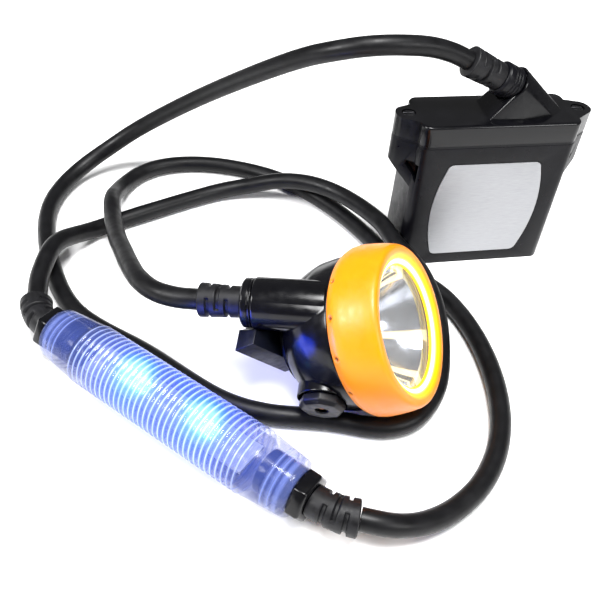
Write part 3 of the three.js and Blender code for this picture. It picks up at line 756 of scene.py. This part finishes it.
RELIEF_NECK = 5
RELIEF_START = -4
RELIEF_ROOT = 6.1
RELIEF_TIP = 6.8
RELIEF_ROUND = 0.55
RELIEF_STEP = 0.3
RELIEF_SLOTS = ((4.6, 6.0), (8.4, 9.8), (12.2, 13.6))
SLOT_DEPTH = 1.15
SLOT_SLOPE = 0.3
PACK_RELIEF_AT = 9.6
HEAD_RELIEF_AT = BARREL_LENGTH + 4.8
TUBE_RELIEF_AT = 67.2
TUBE_BENDS = (("left", 44), ("right", 26))


def limited(value):
    return min(1, max(0, value))


def relief_radius(z, angle):
    """Sleeve that widens to its tip, with arc-shaped slots that alternate round it."""
    if z < 0:
        return RELIEF_NECK
    depth = 0
    for i, (low, high) in enumerate(RELIEF_SLOTS):
        across = limited((math.cos(2 * angle + i * math.pi) + 0.72) / 0.12)
        start = limited((z - low + SLOT_SLOPE / 2) / SLOT_SLOPE)
        end = limited((high - z + SLOT_SLOPE / 2) / SLOT_SLOPE)
        depth = max(depth, SLOT_DEPTH * across * start * end)
    return RELIEF_ROOT + (RELIEF_TIP - RELIEF_ROOT) * z / RELIEF_LENGTH - depth


def bent(point, degrees):
    """Bends what lies beyond z = 0 towards x."""
    x, y, z = point
    if degrees == 0 or z <= 0:
        return point
    radius = RELIEF_LENGTH / math.radians(degrees)
    angle = z / radius
    return (radius - (radius - x) * math.cos(angle), y, (radius - x) * math.sin(angle))


def relief(name, place, node, degrees=0):
    """A sleeve from its narrow neck to its rounded tip, bent by some degrees."""
    sides = 96
    heights = [RELIEF_START, -RELIEF_STEP, 0]
    heights += [i * RELIEF_STEP for i in range(1, int(RELIEF_LENGTH / RELIEF_STEP))]
    heights += [RELIEF_LENGTH - short for short in (1.2, 0.6, 0.2, 0)]
    vertices, rings = [], []
    for z in sorted(set(heights)):
        ring = []
        for i in range(sides):
            angle = 2 * math.pi * i / sides
            r = relief_radius(z, angle) - max(0, RELIEF_ROUND - (RELIEF_LENGTH - z)) ** 2 * 2
            ring.append(len(vertices))
            vertices.append(bent((r * math.cos(angle), r * math.sin(angle), z), degrees))
        rings.append(ring)
    faces = [rings[0][::-1], rings[-1]]
    for low, high in zip(rings, rings[1:]):
        for i in range(sides):
            j = (i + 1) % sides
            faces.append((low[i], low[j], high[j], high[i]))
    piece = build(name, vertices, faces, place, 45)
    finish_piece(piece, "relief_rubber", node)


def make_reliefs():
    relief("battery_relief", hood_frame(PACK_RELIEF_AT), "battery_strain_relief")
    relief("headpiece_relief", barrel_frame(HEAD_RELIEF_AT), "head_strain_relief")
    for side, bend in TUBE_BENDS:
        place = tube_end_frame(side, TUBE_RELIEF_AT)
        relief(f"tube_relief_{side}", place, f"tube_strain_relief_{side}", bend)


NUT_BORE = 5.7
NUT_GAP = 0.3
NUT_EDGE = 0.9
GROOVE_DEPTH = 0.35
# Radius, length and the heights of the grooves.
PACK_NUT = (7.5, 9, (1.6, 3.2, 4.8))
HEAD_NUT = (9.7, 4.2, (0.5,))


def ringed(radius, length, grooves):
    """Profile of a smooth collar with fine grooves at the given heights."""
    profile = [(NUT_BORE, 0), (radius, 0)]
    root = radius - GROOVE_DEPTH
    for z in grooves:
        profile += [(radius, z), (root, z + 0.2), (root, z + 0.5), (radius, z + 0.7)]
    profile += [(radius, length - NUT_EDGE), (radius - NUT_EDGE, length), (NUT_BORE, length)]
    return rounded(profile, 0.25)


def make_gland_nuts():
    pack_nut = lathe("battery_gland", ringed(*PACK_NUT), hood_frame(NUT_GAP), 96, True)
    finish_piece(pack_nut, "black_gloss", "battery_gland_nut", look="black_case")
    place = barrel_frame(BARREL_LENGTH + NUT_GAP)
    head_nut = lathe("headpiece_gland", ringed(*HEAD_NUT), place, 96, True)
    finish_piece(head_nut, "black_gloss", "head_gland_nut")


# -------- headpiece

BODY_OUTSIDE = [
    (0, -26.6), (21, -26.6), (25, -23), (28.3, -18), (30.2, -12), (30.8, -6), (30.9, -0.4),
    (28.7, -0.4), (28.7, 12.5), (26.4, 12.5),
]
BODY_INSIDE = [(26.4, -3), (24, -12), (20.4, -19), (16.5, -23.6), (0, -23.6)]
BARREL_START = -1.5
BARREL_RADIUS = 10.2
BARREL_EDGE = 0.4
BARREL_BORE = 5.4
BORE_START = 14
BOSS_START = 16
BOSS_RADIUS = 10.1
BOSS_WALL = 1.1
STEM_BORE = 3.2
STEM_START = 25
WELL_RADIUS = 9.44
WELL_FLOOR = 27.2
WELL_RIM = 29.6
WELL_TOP = 36
# The flat that the headpiece rests on: the way up in its frame, and how far below its middle.
REST_UP = (0.321, 0.795, 0.515)
REST_DEPTH = 31.3
REST_CUT = 45
REST_RADIUS = 60


def barrel_profile():
    end = BARREL_LENGTH
    outside = [(0, BARREL_START), (BARREL_RADIUS, BARREL_START), (BARREL_RADIUS, end - 0.6)]
    inside = [(BARREL_BORE, end), (BARREL_BORE, BORE_START), (0, BORE_START)]
    return rounded([*outside, (BARREL_RADIUS - BARREL_EDGE, end), *inside], 0.3)


def boss_profile():
    outside = [(0, BOSS_START), (BOSS_RADIUS, BOSS_START), (BOSS_RADIUS, WELL_RIM)]
    wall = BOSS_RADIUS - BOSS_WALL
    inside = [(wall, WELL_RIM), (wall, WELL_FLOOR)]
    stem = [(STEM_BORE, WELL_FLOOR), (STEM_BORE, STEM_START), (0, STEM_START)]
    return rounded([*outside, *inside, *stem], 0.4)


def make_lamp_body():
    """The dome, its cable barrel and its switch boss, less the cap's well and the flat it rests on."""
    body = lathe("lamp_housing", rounded(BODY_OUTSIDE + BODY_INSIDE, 2.0), HEAD_FRAME, 128)
    barrel = lathe("barrel", barrel_profile(), barrel_frame(), 96)
    joined(body, barrel, lathe("boss", boss_profile(), switch_frame(), 96))
    well = lathe("cap_room", rod(WELL_RADIUS, WELL_FLOOR + 0.02, WELL_TOP), switch_frame(), 96)
    turn = Vector(REST_UP).to_track_quat("Z", "Y").to_matrix().to_4x4()
    rest = lathe("rest", rod(REST_RADIUS, -REST_CUT, -REST_DEPTH), HEAD_FRAME @ turn, 64)
    cut(body, well, rest)
    finish_piece(body, "black_gloss", "lamp_body")


BEZEL_OUTSIDE = [
    (29.1, 0), (32.1, 0), (32.6, 0.8), (33.7, 3), (33.8, 6), (33.3, 10.5), (32.5, 15),
    (31.8, 17.6), (31.3, 18.7), (30.3, 19.5), (28.4, 19.5),
]
BEZEL_INSIDE = [(26.8, 18.5), (24, 16.8), (23.6, 16.5), (23.6, 16), (29.1, 16)]
LIP_BACK = 15.5
PIT_COUNT = 14
PIT_HEIGHT = 2.1
PIT_TURN = math.radians(6)
PIT_WIDTH = 0.75
PIT_SINK = 0.9
PIT_MIDDLE = 33.4
GLOW_STOPS = ((23.5, 0.6), (24, 0.7), (24.6, 1), (25.5, 1), (26.8, 0.55), (28.6, 0.12), (30, 0))


def pit_depth(radius, height, angle):
    """How deep a point lies in one of the small pits just in front of the rear edge, from 0 to 1."""
    step = 2 * math.pi / PIT_COUNT
    around = ((angle - PIT_TURN + step / 2) % step - step / 2) * radius
    return math.exp(-((math.hypot(around, 0.8 * (height - PIT_HEIGHT)) / PIT_WIDTH) ** 4))


def pitted(radius, height, angle):
    if radius < 31.5 or height > 6.5:
        return radius, height
    return radius - PIT_SINK * pit_depth(radius, height, angle), height


# Painted shade: how far into a pit a point lies, used to darken its colour.
def pit_shade_at(point):
    if math.hypot(point.x, point.y) > 31 and point.z < 7:
        return pit_depth(PIT_MIDDLE, point.z, math.atan2(point.y, point.x))
    return 0


def glow_at(point):
    """Painted light in the amber lip: white in its chamfer, then yellow, fading on the front."""
    if point.z < LIP_BACK:
        return 0
    radius = math.hypot(point.x, point.y)
    for (r0, glow0), (r1, glow1) in zip(GLOW_STOPS, GLOW_STOPS[1:]):
        if radius <= r1:
            return glow0 + (glow1 - glow0) * max(0, radius - r0) / (r1 - r0)
    return 0


def divided(profile, length):
    """The profile with its long stretches cut into shorter ones."""
    result = []
    for (r0, z0), (r1, z1) in zip(profile, profile[1:]):
        steps = max(1, math.ceil(math.hypot(r1 - r0, z1 - z0) / length))
        result += [(r0 + (r1 - r0) * i / steps, z0 + (z1 - z0) * i / steps) for i in range(steps)]
    return [*result, profile[-1]]


def make_bezel():
    profile = divided(rounded(BEZEL_OUTSIDE + BEZEL_INSIDE, 1.0), 0.4)
    bezel = lathe("bezel_ring", profile, HEAD_FRAME, 432, True, pitted, 50)
    # Painted light in the lip, and painted shade in the pits.
    paint(bezel, "glow", glow_at, HEAD_FRAME)
    paint(bezel, "pit_shade", pit_shade_at, HEAD_FRAME)
    finish_piece(bezel, "amber", "bezel")


# Painted reflections: where each reflection streak starts round the rim, in degrees, and half its width
# there.
REFLECTION_STREAKS = ((-72, 2.0), (9, 2.6), (27, 1.2), (-126, 2.6), (-149, 1.2), (95, 1.5), (160, 1.2))
STREAK_FREE = 6
# Painted light on the flange round the bowl, seen through the lens.
RIM_LIGHT = 0.62
BOWL_HOLE = 4
BOWL_STEPS = 40
BOWL_WALL = 1.2
FLANGE_RADIUS = 28.5


def bowl_height(radius):
    return REFLECTOR_BOTTOM + radius**2 / (4 * REFLECTOR_FOCUS)


def reflection_streak_at(point):
    """Painted reflections: bright curved streaks that run in from the rim of the bowl, from 0 to 1, and
    painted light on the flange beyond it.
    """
    radius = math.hypot(point.x, point.y)
    if radius > REFLECTOR_MOUTH + 0.1:
        return RIM_LIGHT
    around = math.degrees(math.atan2(point.y, point.x))
    inward = 1 - radius / REFLECTOR_MOUTH
    best = 0
    for centre, width in REFLECTION_STREAKS:
        middle = centre + 0.8 * (centre + 72) * inward
        off = math.radians((around - middle + 180) % 360 - 180) * radius
        half = width * (1 - 0.75 * inward)
        best = max(best, limited((half - abs(off)) / 0.5 + 0.5))
    return best if radius > STREAK_FREE else 0


def make_reflector():
    radii = [BOWL_HOLE + (REFLECTOR_MOUTH - BOWL_HOLE) * i / BOWL_STEPS for i in range(BOWL_STEPS + 1)]
    inside = [(radius, bowl_height(radius)) for radius in radii]
    top = inside[-1][1]
    outside = [(radius + BOWL_WALL, z - 0.4 * BOWL_WALL) for radius, z in reversed(inside)]
    outside[0] = (REFLECTOR_MOUTH + BOWL_WALL, top - BOWL_WALL)
    profile = [*inside, (FLANGE_RADIUS, top), (FLANGE_RADIUS, top - BOWL_WALL), *outside]
    reflector = lathe("reflector_bowl", profile, HEAD_FRAME, 288, True)
    paint(reflector, "reflection_streak", reflection_streak_at, HEAD_FRAME)
    finish_piece(reflector, "mirror", "reflector")


LENS_RADIUS = 26.2
LENS_THICKNESS = 1.4
LENS_GAP = 0.3
EMITTER_RADIUS = 2.6
EMITTER_BOTTOM = -5
DOME_BOTTOM = -3.9
DOME_RADIUS = 2.0
DOME_HEIGHT = 1.6


def make_lens():
    back = bowl_height(REFLECTOR_MOUTH) + LENS_GAP
    profile = rounded(rod(LENS_RADIUS, back, back + LENS_THICKNESS), 0.25)
    lens = lathe("lens_disc", profile, HEAD_FRAME, 128)
    finish_piece(lens, "clear_lens", "lens")


def make_main_led():
    profile = [(0, EMITTER_BOTTOM), (EMITTER_RADIUS, EMITTER_BOTTOM), (EMITTER_RADIUS, DOME_BOTTOM)]
    for angle in range(0, 90, 10):
        a = math.radians(angle)
        profile.append((DOME_RADIUS * math.cos(a), DOME_BOTTOM + DOME_HEIGHT * math.sin(a)))
    profile.append((0, DOME_BOTTOM + DOME_HEIGHT))
    led = lathe("main_emitter_dome", profile, HEAD_FRAME, 48)
    finish_piece(led, "emitter", "main_led")


BOOT_BORE = 3.3
BOOT_START = 27.5
BOOT_END = 30.7
BOOT_ROOT = 5.7
BOOT_CREST = 6.7
BOOT_RIBS = 2
PIN_RADIUS = 1.5
PIN_START = 25.2
PIN_END = 32.9


def make_switch():
    cap = refined("switch_cap", 0.7, "switch_button", 4, 30)
    finish_piece(cap, "grey_plastic", "switch_cap", "switch")
    profile = [(BOOT_BORE, BOOT_START)]
    pitch = (BOOT_END - BOOT_START) / BOOT_RIBS
    for i in range(BOOT_RIBS):
        low = BOOT_START + i * pitch
        crest = [(BOOT_CREST, low + 0.6), (BOOT_CREST, low + 1.0)]
        profile += [(BOOT_ROOT, low), (BOOT_ROOT + 0.4, low + 0.25), *crest, (BOOT_ROOT + 0.4, low + 1.35)]
    profile += [(BOOT_ROOT, BOOT_END), (BOOT_BORE, BOOT_END)]
    boot = lathe("switch_bellows", rounded(profile, 0.2, 2), switch_frame(), 72, True)
    finish_piece(boot, "rubber_seal", "switch_boot")
    shank = [(0, PIN_START), (PIN_RADIUS, PIN_START), (PIN_RADIUS, PIN_END - 0.4)]
    tip = rounded([*shank, (PIN_RADIUS - 0.4, PIN_END), (0, PIN_END)], 0.2)
    pin = lathe("contact_tip", tip, switch_frame(), 48)
    finish_piece(pin, "brass", "contact_pin", "contact")


def make_clip():
    clip = refined("helmet_clip", 0.45, "clip_plate", 3, 30)
    finish_piece(clip, "black_matte", "helmet_clip")
    plate = refined("rear_plate", 0.4, "back_disc", 3, 40)
    finish_piece(plate, "grey_plastic", "rear_plate")


# -------- battery pack

EAR_ROOT = PACK_WIDTH / 2 - PACK_CORNER
EAR_FRONT = -12.5
EAR_BACK = 9
EAR_TURN = (-46, 56)
EAR_BOTTOM = 38
SLOPE_FOOT = 36
SLOPE_AT_PACK = 44
SLOPE_AT_TIP = 55.5
POCKET = [(2.5, 48), (9.5, 55.2), (9.5, 57.5), (2.5, 57.5)]
POCKET_HALF = 3.4
CASE_FLOOR = 2.5
CAVITY = (71, 24, 2.5)
SCREW_BORE = 1.7
SCREW_END = 57
HEAD_BORE = 3.2
SCREW_SEAT = 75
LABEL_HALF = (22.5, 25.8)
LABEL_MIDDLE = 32.2
LABEL_CORNER = 3
LABEL_FLARE = 0.6
LABEL_BULGE = 4
LABEL_GAP = 0.3
LABEL_SEAT = 13.9
LABEL_FACE = 14.8
STAND = columns((1, 0, 0), (0, 0, 1), (0, -1, 0))


def ear_outline(side, inset=0):
    """The ear that carries a lid screw, from inside the pack round its tip and back."""
    tip = arc(EAR_X, 0, EAR_RADIUS - inset, *EAR_TURN, 14)
    points = [(EAR_ROOT, EAR_FRONT + inset), *tip, (EAR_ROOT, EAR_BACK - inset)]
    if side < 0:
        points = [(-x, y) for x, y in reversed(points)]
    return points


def ears(low, high, inset=0):
    return [prism("ear", ear_outline(side, inset), low, high, PACK_FRAME) for side in (-1, 1)]


def ear_tools(side):
    """What is cut from an ear: the slope under it and the pocket in its slanting face."""
    outer, inner = EAR_X + EAR_RADIUS + 1, PACK_WIDTH / 2
    slope = [(inner, SLOPE_FOOT), (outer, SLOPE_FOOT), (outer, SLOPE_AT_TIP), (inner, SLOPE_AT_PACK)]
    tip = arc(EAR_X, 0, EAR_RADIUS, EAR_TURN[0], EAR_TURN[0], 1)[0]
    lean = math.degrees(math.atan2(tip[1] - EAR_FRONT, tip[0] - EAR_ROOT))
    place = PACK_FRAME @ Matrix.Diagonal((side, 1, 1, 1))
    face = place @ placed((EAR_ROOT, EAR_FRONT, 0), axis_turn(lean, "Z"))
    return [
        prism("slope", slope, -40, 40, place @ STAND),
        prism("pocket", POCKET, -POCKET_HALF, POCKET_HALF, face @ STAND),
    ]


def cavity(low, high):
    return prism("cavity", rounded_rectangle(*CAVITY), low, high, PACK_FRAME)


def label_outline(grow):
    """Half of the outline, with two rounded corners and a bulging side, and its mirror image."""
    x, z = LABEL_HALF[0] + grow, LABEL_HALF[1] + grow
    near, side = x - LABEL_CORNER, x + LABEL_FLARE
    points = []
    for start, control, end in (
        ((near, -z), (x, -z), (side, -z + LABEL_CORNER)),
        ((side, -z + LABEL_CORNER), (x + 2 * LABEL_BULGE, 0), (side, z - LABEL_CORNER)),
        ((side, z - LABEL_CORNER), (x, z), (near, z)),
    ):
        for i in range(13):
            t = i / 13
            parts = zip(start, control, end)
            points.append(tuple(a * (1 - t) ** 2 + b * 2 * t * (1 - t) + c * t**2 for a, b, c in parts))
    points.append((near, z))
    return points + [(-px, pz) for px, pz in reversed(points)]


def label_prism(name, grow, low, high):
    return prism(name, label_outline(grow), low, high, PACK_FRAME @ placed((0, 0, LABEL_MIDDLE), STAND))


def screw_hole(side, radius, low, high):
    place = PACK_FRAME @ Matrix.Translation((side * EAR_X, 0, 0))
    return lathe("hole", rod(radius, low, high), place, 40)


def make_case():
    outline = rounded_rectangle(PACK_WIDTH, PACK_DEPTH, PACK_CORNER)
    case = joined(prism("pack_case", outline, 0, CASE_TOP, PACK_FRAME), *ears(EAR_BOTTOM, CASE_TOP))
    tools = [tool for side in (-1, 1) for tool in ear_tools(side)]
    recess = label_prism("label_recess", LABEL_GAP, LABEL_SEAT, LABEL_SEAT + 2.1)
    cut(case, cavity(CASE_FLOOR, CASE_TOP + 1), *tools, recess)
    cut(case, *[screw_hole(side, SCREW_BORE, SCREW_END, CASE_TOP + 1) for side in (-1, 1)])
    cleaned(case.data)
    bevelled(case, 0.5, 3, 28)
    finish_piece(case, "black_case", "battery_case")


# Places along the lid and half the hood's width there.
HOOD_FOOT = ((-6.7, 9), (10, 10.5), (26, 7.5), (33, 2))
HOOD_RADIUS = 8.6
HOOD_BORE = 8.4
HOOD_EDGE = 0.7
HOOD_SIDES = 72
DUCT_RADIUS = 5.7
LID_EDGE = 1.1
LID_INSET = 0.02
SEAL_INSET = 0.35
SEAL_GAP = 0.05


def make_hood():
    """The hood drawn over its foot on the lid and the circle that carries the gland."""
    shape = bmesh.new()
    for x, half in HOOD_FOOT:
        for y in (-half, half):
            shape.verts.new(PACK_FRAME @ Vector((x, y, LID_TOP - 1)) * MM)
    for i in range(HOOD_SIDES):
        angle = 2 * math.pi * i / HOOD_SIDES
        rim = Vector((HOOD_RADIUS * math.cos(angle), HOOD_RADIUS * math.sin(angle), 0))
        shape.verts.new(hood_frame() @ rim * MM)
    hull = bmesh.ops.convex_hull(shape, input=shape.verts)
    loose = {v for v in hull["geom_interior"] + hull["geom_unused"] if isinstance(v, bmesh.types.BMVert)}
    bmesh.ops.delete(shape, geom=list(loose), context="VERTS")
    mesh = bpy.data.meshes.new("hood")
    shape.to_mesh(mesh)
    shape.free()
    cleaned(mesh, 1)
    return bevelled(linked("hood", mesh), HOOD_EDGE, 3, 26)


def make_lid():
    """A slab with a bevelled top, a square foot and two plain ears, with the hood on it."""
    outline = rounded_rectangle(PACK_WIDTH, PACK_DEPTH, PACK_CORNER)
    lid = prism("pack_lid", outline, LID_BOTTOM, LID_TOP, PACK_FRAME)
    bevelled(lid, LID_EDGE, 4, 40)
    foot = rounded_rectangle(PACK_WIDTH - 2 * LID_INSET, PACK_DEPTH - 2 * LID_INSET, PACK_CORNER)
    joined(lid, prism("foot", foot, LID_BOTTOM, LID_BOTTOM + 2 * LID_EDGE, PACK_FRAME))
    joined(lid, *ears(LID_BOTTOM, LID_TOP))
    cut(lid, cavity(LID_BOTTOM - 1, SCREW_SEAT))
    for side in (-1, 1):
        head = screw_hole(side, HEAD_BORE, SCREW_SEAT, LID_TOP + 1)
        cut(lid, head, screw_hole(side, SCREW_BORE, LID_BOTTOM - 1, SCREW_SEAT + 1))
    joined(lid, make_hood())
    cut(lid, lathe("gland_room", rod(HOOD_BORE, 0, 40), hood_frame(), 72))
    cut(lid, lathe("duct", rod(DUCT_RADIUS, -8, 2), hood_frame(), 48))
    finish_piece(lid, "black_case", "battery_lid", look="black_gloss")


def make_gasket():
    """The seal fills the seam between case and lid, just behind their faces."""
    low, high = CASE_TOP + SEAL_GAP, LID_BOTTOM - SEAL_GAP
    outline = rounded_rectangle(PACK_WIDTH - SEAL_INSET, PACK_DEPTH - SEAL_INSET, PACK_CORNER)
    gasket = joined(prism("gasket", outline, low, high, PACK_FRAME), *ears(low, high, SEAL_INSET / 2))
    holes = [screw_hole(side, SCREW_BORE, low - 1, high + 1) for side in (-1, 1)]
    cut(gasket, cavity(low - 1, high + 1), *holes)
    finish_piece(gasket, "rubber_seal", "lid_gasket", look="black_case")


def make_label():
    label = label_prism("label_face", 0, LABEL_FACE - 0.6, LABEL_FACE)
    cleaned(label.data)
    bevelled(label, 0.12, 2, 30)
    finish_piece(label, "label", "label_plate")


def make_screws():
    for side, word in ((-1, "left"), (1, "right")):
        screw = refined(f"lid_screw_{word}", 0.15, f"pack_screw_{word}", 2, 40)
        finish_piece(screw, "steel", f"lid_screw_{word}")


# -------- tube light


TUBE_TAPER = [(12.3, 45.5), (10.9, 60.2), (10.4, 61.2)]
TUBE_BORE = [(8.7, 61.2), (8.7, 46.2), (10.8, 43.2)]
TUBE_INNER = 11
ROOM_END = 43
RIBS_END = 43.5
RIB_ROOT = 12.6
RIB_CREST = 13
RIB_PITCH = 2.5
RIB_START = -41.5
RIB_COUNT = 34
THREAD_PITCH = 1.5
THREAD_START = 52.5
THREAD_COUNT = 5
# Where an emitter lights the shell: how far it reaches along, across and up, and where its middle is.
GLOW_REACH = (8.5, 7, 12)
GLOW_ACROSS = -2.5
GLOW_UP = 11


def near_line(value, start, pitch, count, half):
    """1 on any of a row of lines, 0 when further than half from it."""
    turn = (value - start) / pitch
    if not -0.5 < turn < count - 0.5:
        return 0
    return max(0, 1 - abs(turn - round(turn)) * pitch / half)


def rib_profile(x):
    near = RIB_CREST - 0.05
    return [(RIB_ROOT, x - 0.75), (near, x - 0.4), (RIB_CREST, x), (near, x + 0.4), (RIB_ROOT, x + 0.75)]


def mirrored(profile):
    """The other half of a profile, in the opposite order."""
    return [(radius, -x) for radius, x in reversed(profile)]


def tube_glow_at(point):
    """The blue light seen in the shell: brightest at the emitters, with a haze along the tube."""
    best = 0
    reach_x, reach_y, reach_z = GLOW_REACH
    for x in TUBE_LED_X:
        along, across, up = point.x - x, point.y - GLOW_ACROSS, point.z - GLOW_UP
        away = (along / reach_x) ** 2 + (across / reach_y) ** 2 + (up / reach_z) ** 2
        best = max(best, math.exp(-away))
    haze = math.exp(-((point.x / 36) ** 6))
    side = max(0, -point.y / RIB_CREST) ** 2 * 0.22 + max(0, point.y / RIB_CREST) * 0.14
    return min(1, haze * (0.26 + side) + best)


def is_inside(point):
    return math.hypot(point.y, point.z) < TUBE_INNER


def rib_at(point):
    """The ribs outside and the threads at both ends, from 0 to 1, for their painted highlights and the
    shell's cover.
    """
    if is_inside(point):
        return 0.15 if abs(point.x) < ROOM_END else 0.5
    if abs(point.x) < RIBS_END:
        return near_line(point.x, RIB_START, RIB_PITCH, RIB_COUNT, 0.9)
    return 0.9 * near_line(abs(point.x), THREAD_START, THREAD_PITCH, THREAD_COUNT, 0.6)


def cover_at(point):
    """How much of what lies behind it the shell hides, from 0 to 1."""
    if is_inside(point):
        return 0.3 if abs(point.x) < ROOM_END else 0.2
    if abs(point.x) < RIBS_END:
        return 0.2 + 0.36 * math.exp(-((point.x / 38) ** 10)) + 0.35 * rib_at(point)
    return 0.4 + 0.3 * rib_at(point)


def make_tube_shell():
    outside = [*mirrored(TUBE_TAPER), (RIB_ROOT, -RIBS_END)]
    for i in range(RIB_COUNT):
        outside += rib_profile(RIB_START + i * RIB_PITCH)
    outside += [(RIB_ROOT, RIBS_END + 0.3), *TUBE_TAPER]
    inside = [*TUBE_BORE, *mirrored(TUBE_BORE)]
    profile = divided(outside, 1.0) + divided(inside, 1.5)
    place = tube_end_frame("right")
    shell = lathe("tube_light_shell", profile, place, 96, True, sharp=60)
    paint(shell, "glow", tube_glow_at, TUBE_FRAME)
    paint(shell, "rib_highlight", rib_at, TUBE_FRAME)
    paint(shell, "cover", cover_at, TUBE_FRAME)
    finish_piece(shell, "clear_tube", "tube_shell")


PLUG_START = 46.5
PLUG_END = 62.5
PLUG_ROOT = 7.8
PLUG_RADIUS = 8.3
PLUG_THREADS = (51.8, 60.4)
PLUG_PITCH = 1.4
PLUG_BORE = 5.5
HEX_RADIUS = 9.9
HEX_START = 61.5
HEX_END = 66.9
SEAL_RADIUS = 7.85
SEAL_WIRE = 0.5
SEAL_AT = 50.25


def plug_profile():
    """A threaded shank with a groove for its seal."""
    shank = [(0, PLUG_START), (PLUG_RADIUS - 0.1, PLUG_START), (PLUG_RADIUS, PLUG_START + 0.5)]
    shank += [(PLUG_RADIUS, 49.4), (7.0, 49.4), (7.0, 51.1), (PLUG_RADIUS, 51.1)]
    x, end = PLUG_THREADS
    while x < end:
        crest = PLUG_RADIUS + 0.05
        shank += [(PLUG_ROOT, x), (crest, x + 0.45), (crest, x + 0.75), (PLUG_ROOT, x + 1.2)]
        x += PLUG_PITCH
    return [*shank, (PLUG_RADIUS, 61.3), (PLUG_RADIUS, PLUG_END), (0, PLUG_END)]


def make_tube_plugs():
    for side in ("left", "right"):
        place = tube_end_frame(side)
        plug = lathe(f"plug_{side}", plug_profile(), place, 72)
        edge = [(HEX_RADIUS, HEX_END - 0.8), (HEX_RADIUS - 0.8, HEX_END), (0, HEX_END)]
        head = lathe("hex", [(0, HEX_START), (HEX_RADIUS, HEX_START), *edge], place, 6)
        bevelled(head, 0.5, 3, 30)
        joined(plug, head)
        cut(plug, lathe("bore", rod(PLUG_BORE, 45, 68), place, 48))
        finish_piece(plug, "black_gloss", f"tube_plug_{side}")
        turns = [a * math.pi / 8 for a in range(16)]
        ring = [(SEAL_RADIUS + SEAL_WIRE * math.cos(a), SEAL_AT + SEAL_WIRE * math.sin(a)) for a in turns]
        seal = lathe(f"seal_{side}", ring, place, 72, True)
        finish_piece(seal, "rubber_seal", f"tube_seal_{side}")


# -------- carried-over CAD nodes


def dress_cad_nodes():
    """Every CAD node takes the look of its slot in the record."""
    for entry in frame["record"]["subparts"]:
        node = frame["nodes"][entry["node"]]
        node.data.materials.clear()
        node.data.materials.append(looks[entry["material_slot"]])
        shade(node.data, 30)


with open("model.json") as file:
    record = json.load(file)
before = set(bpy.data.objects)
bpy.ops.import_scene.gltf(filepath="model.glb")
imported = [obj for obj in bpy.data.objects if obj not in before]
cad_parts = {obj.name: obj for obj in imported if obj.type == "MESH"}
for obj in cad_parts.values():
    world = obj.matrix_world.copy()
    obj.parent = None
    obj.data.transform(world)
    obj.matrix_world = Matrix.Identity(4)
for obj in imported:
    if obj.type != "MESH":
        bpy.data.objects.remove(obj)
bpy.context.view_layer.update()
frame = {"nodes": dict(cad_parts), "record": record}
looks = make_looks()
make_camera()
make_lights()
make_floor()
dress_cad_nodes()
make_reliefs()
make_cable("battery_cord", BATTERY_CABLE_ROUTE, "battery_cable")
make_cable("headpiece_cord", HEAD_CABLE_ROUTE, "headpiece_cable")
make_gland_nuts()
make_lamp_body()
make_bezel()
make_reflector()
make_lens()
make_main_led()
make_switch()
make_clip()
make_case()
make_lid()
make_gasket()
make_label()
make_screws()
make_tube_shell()
make_tube_plugs()
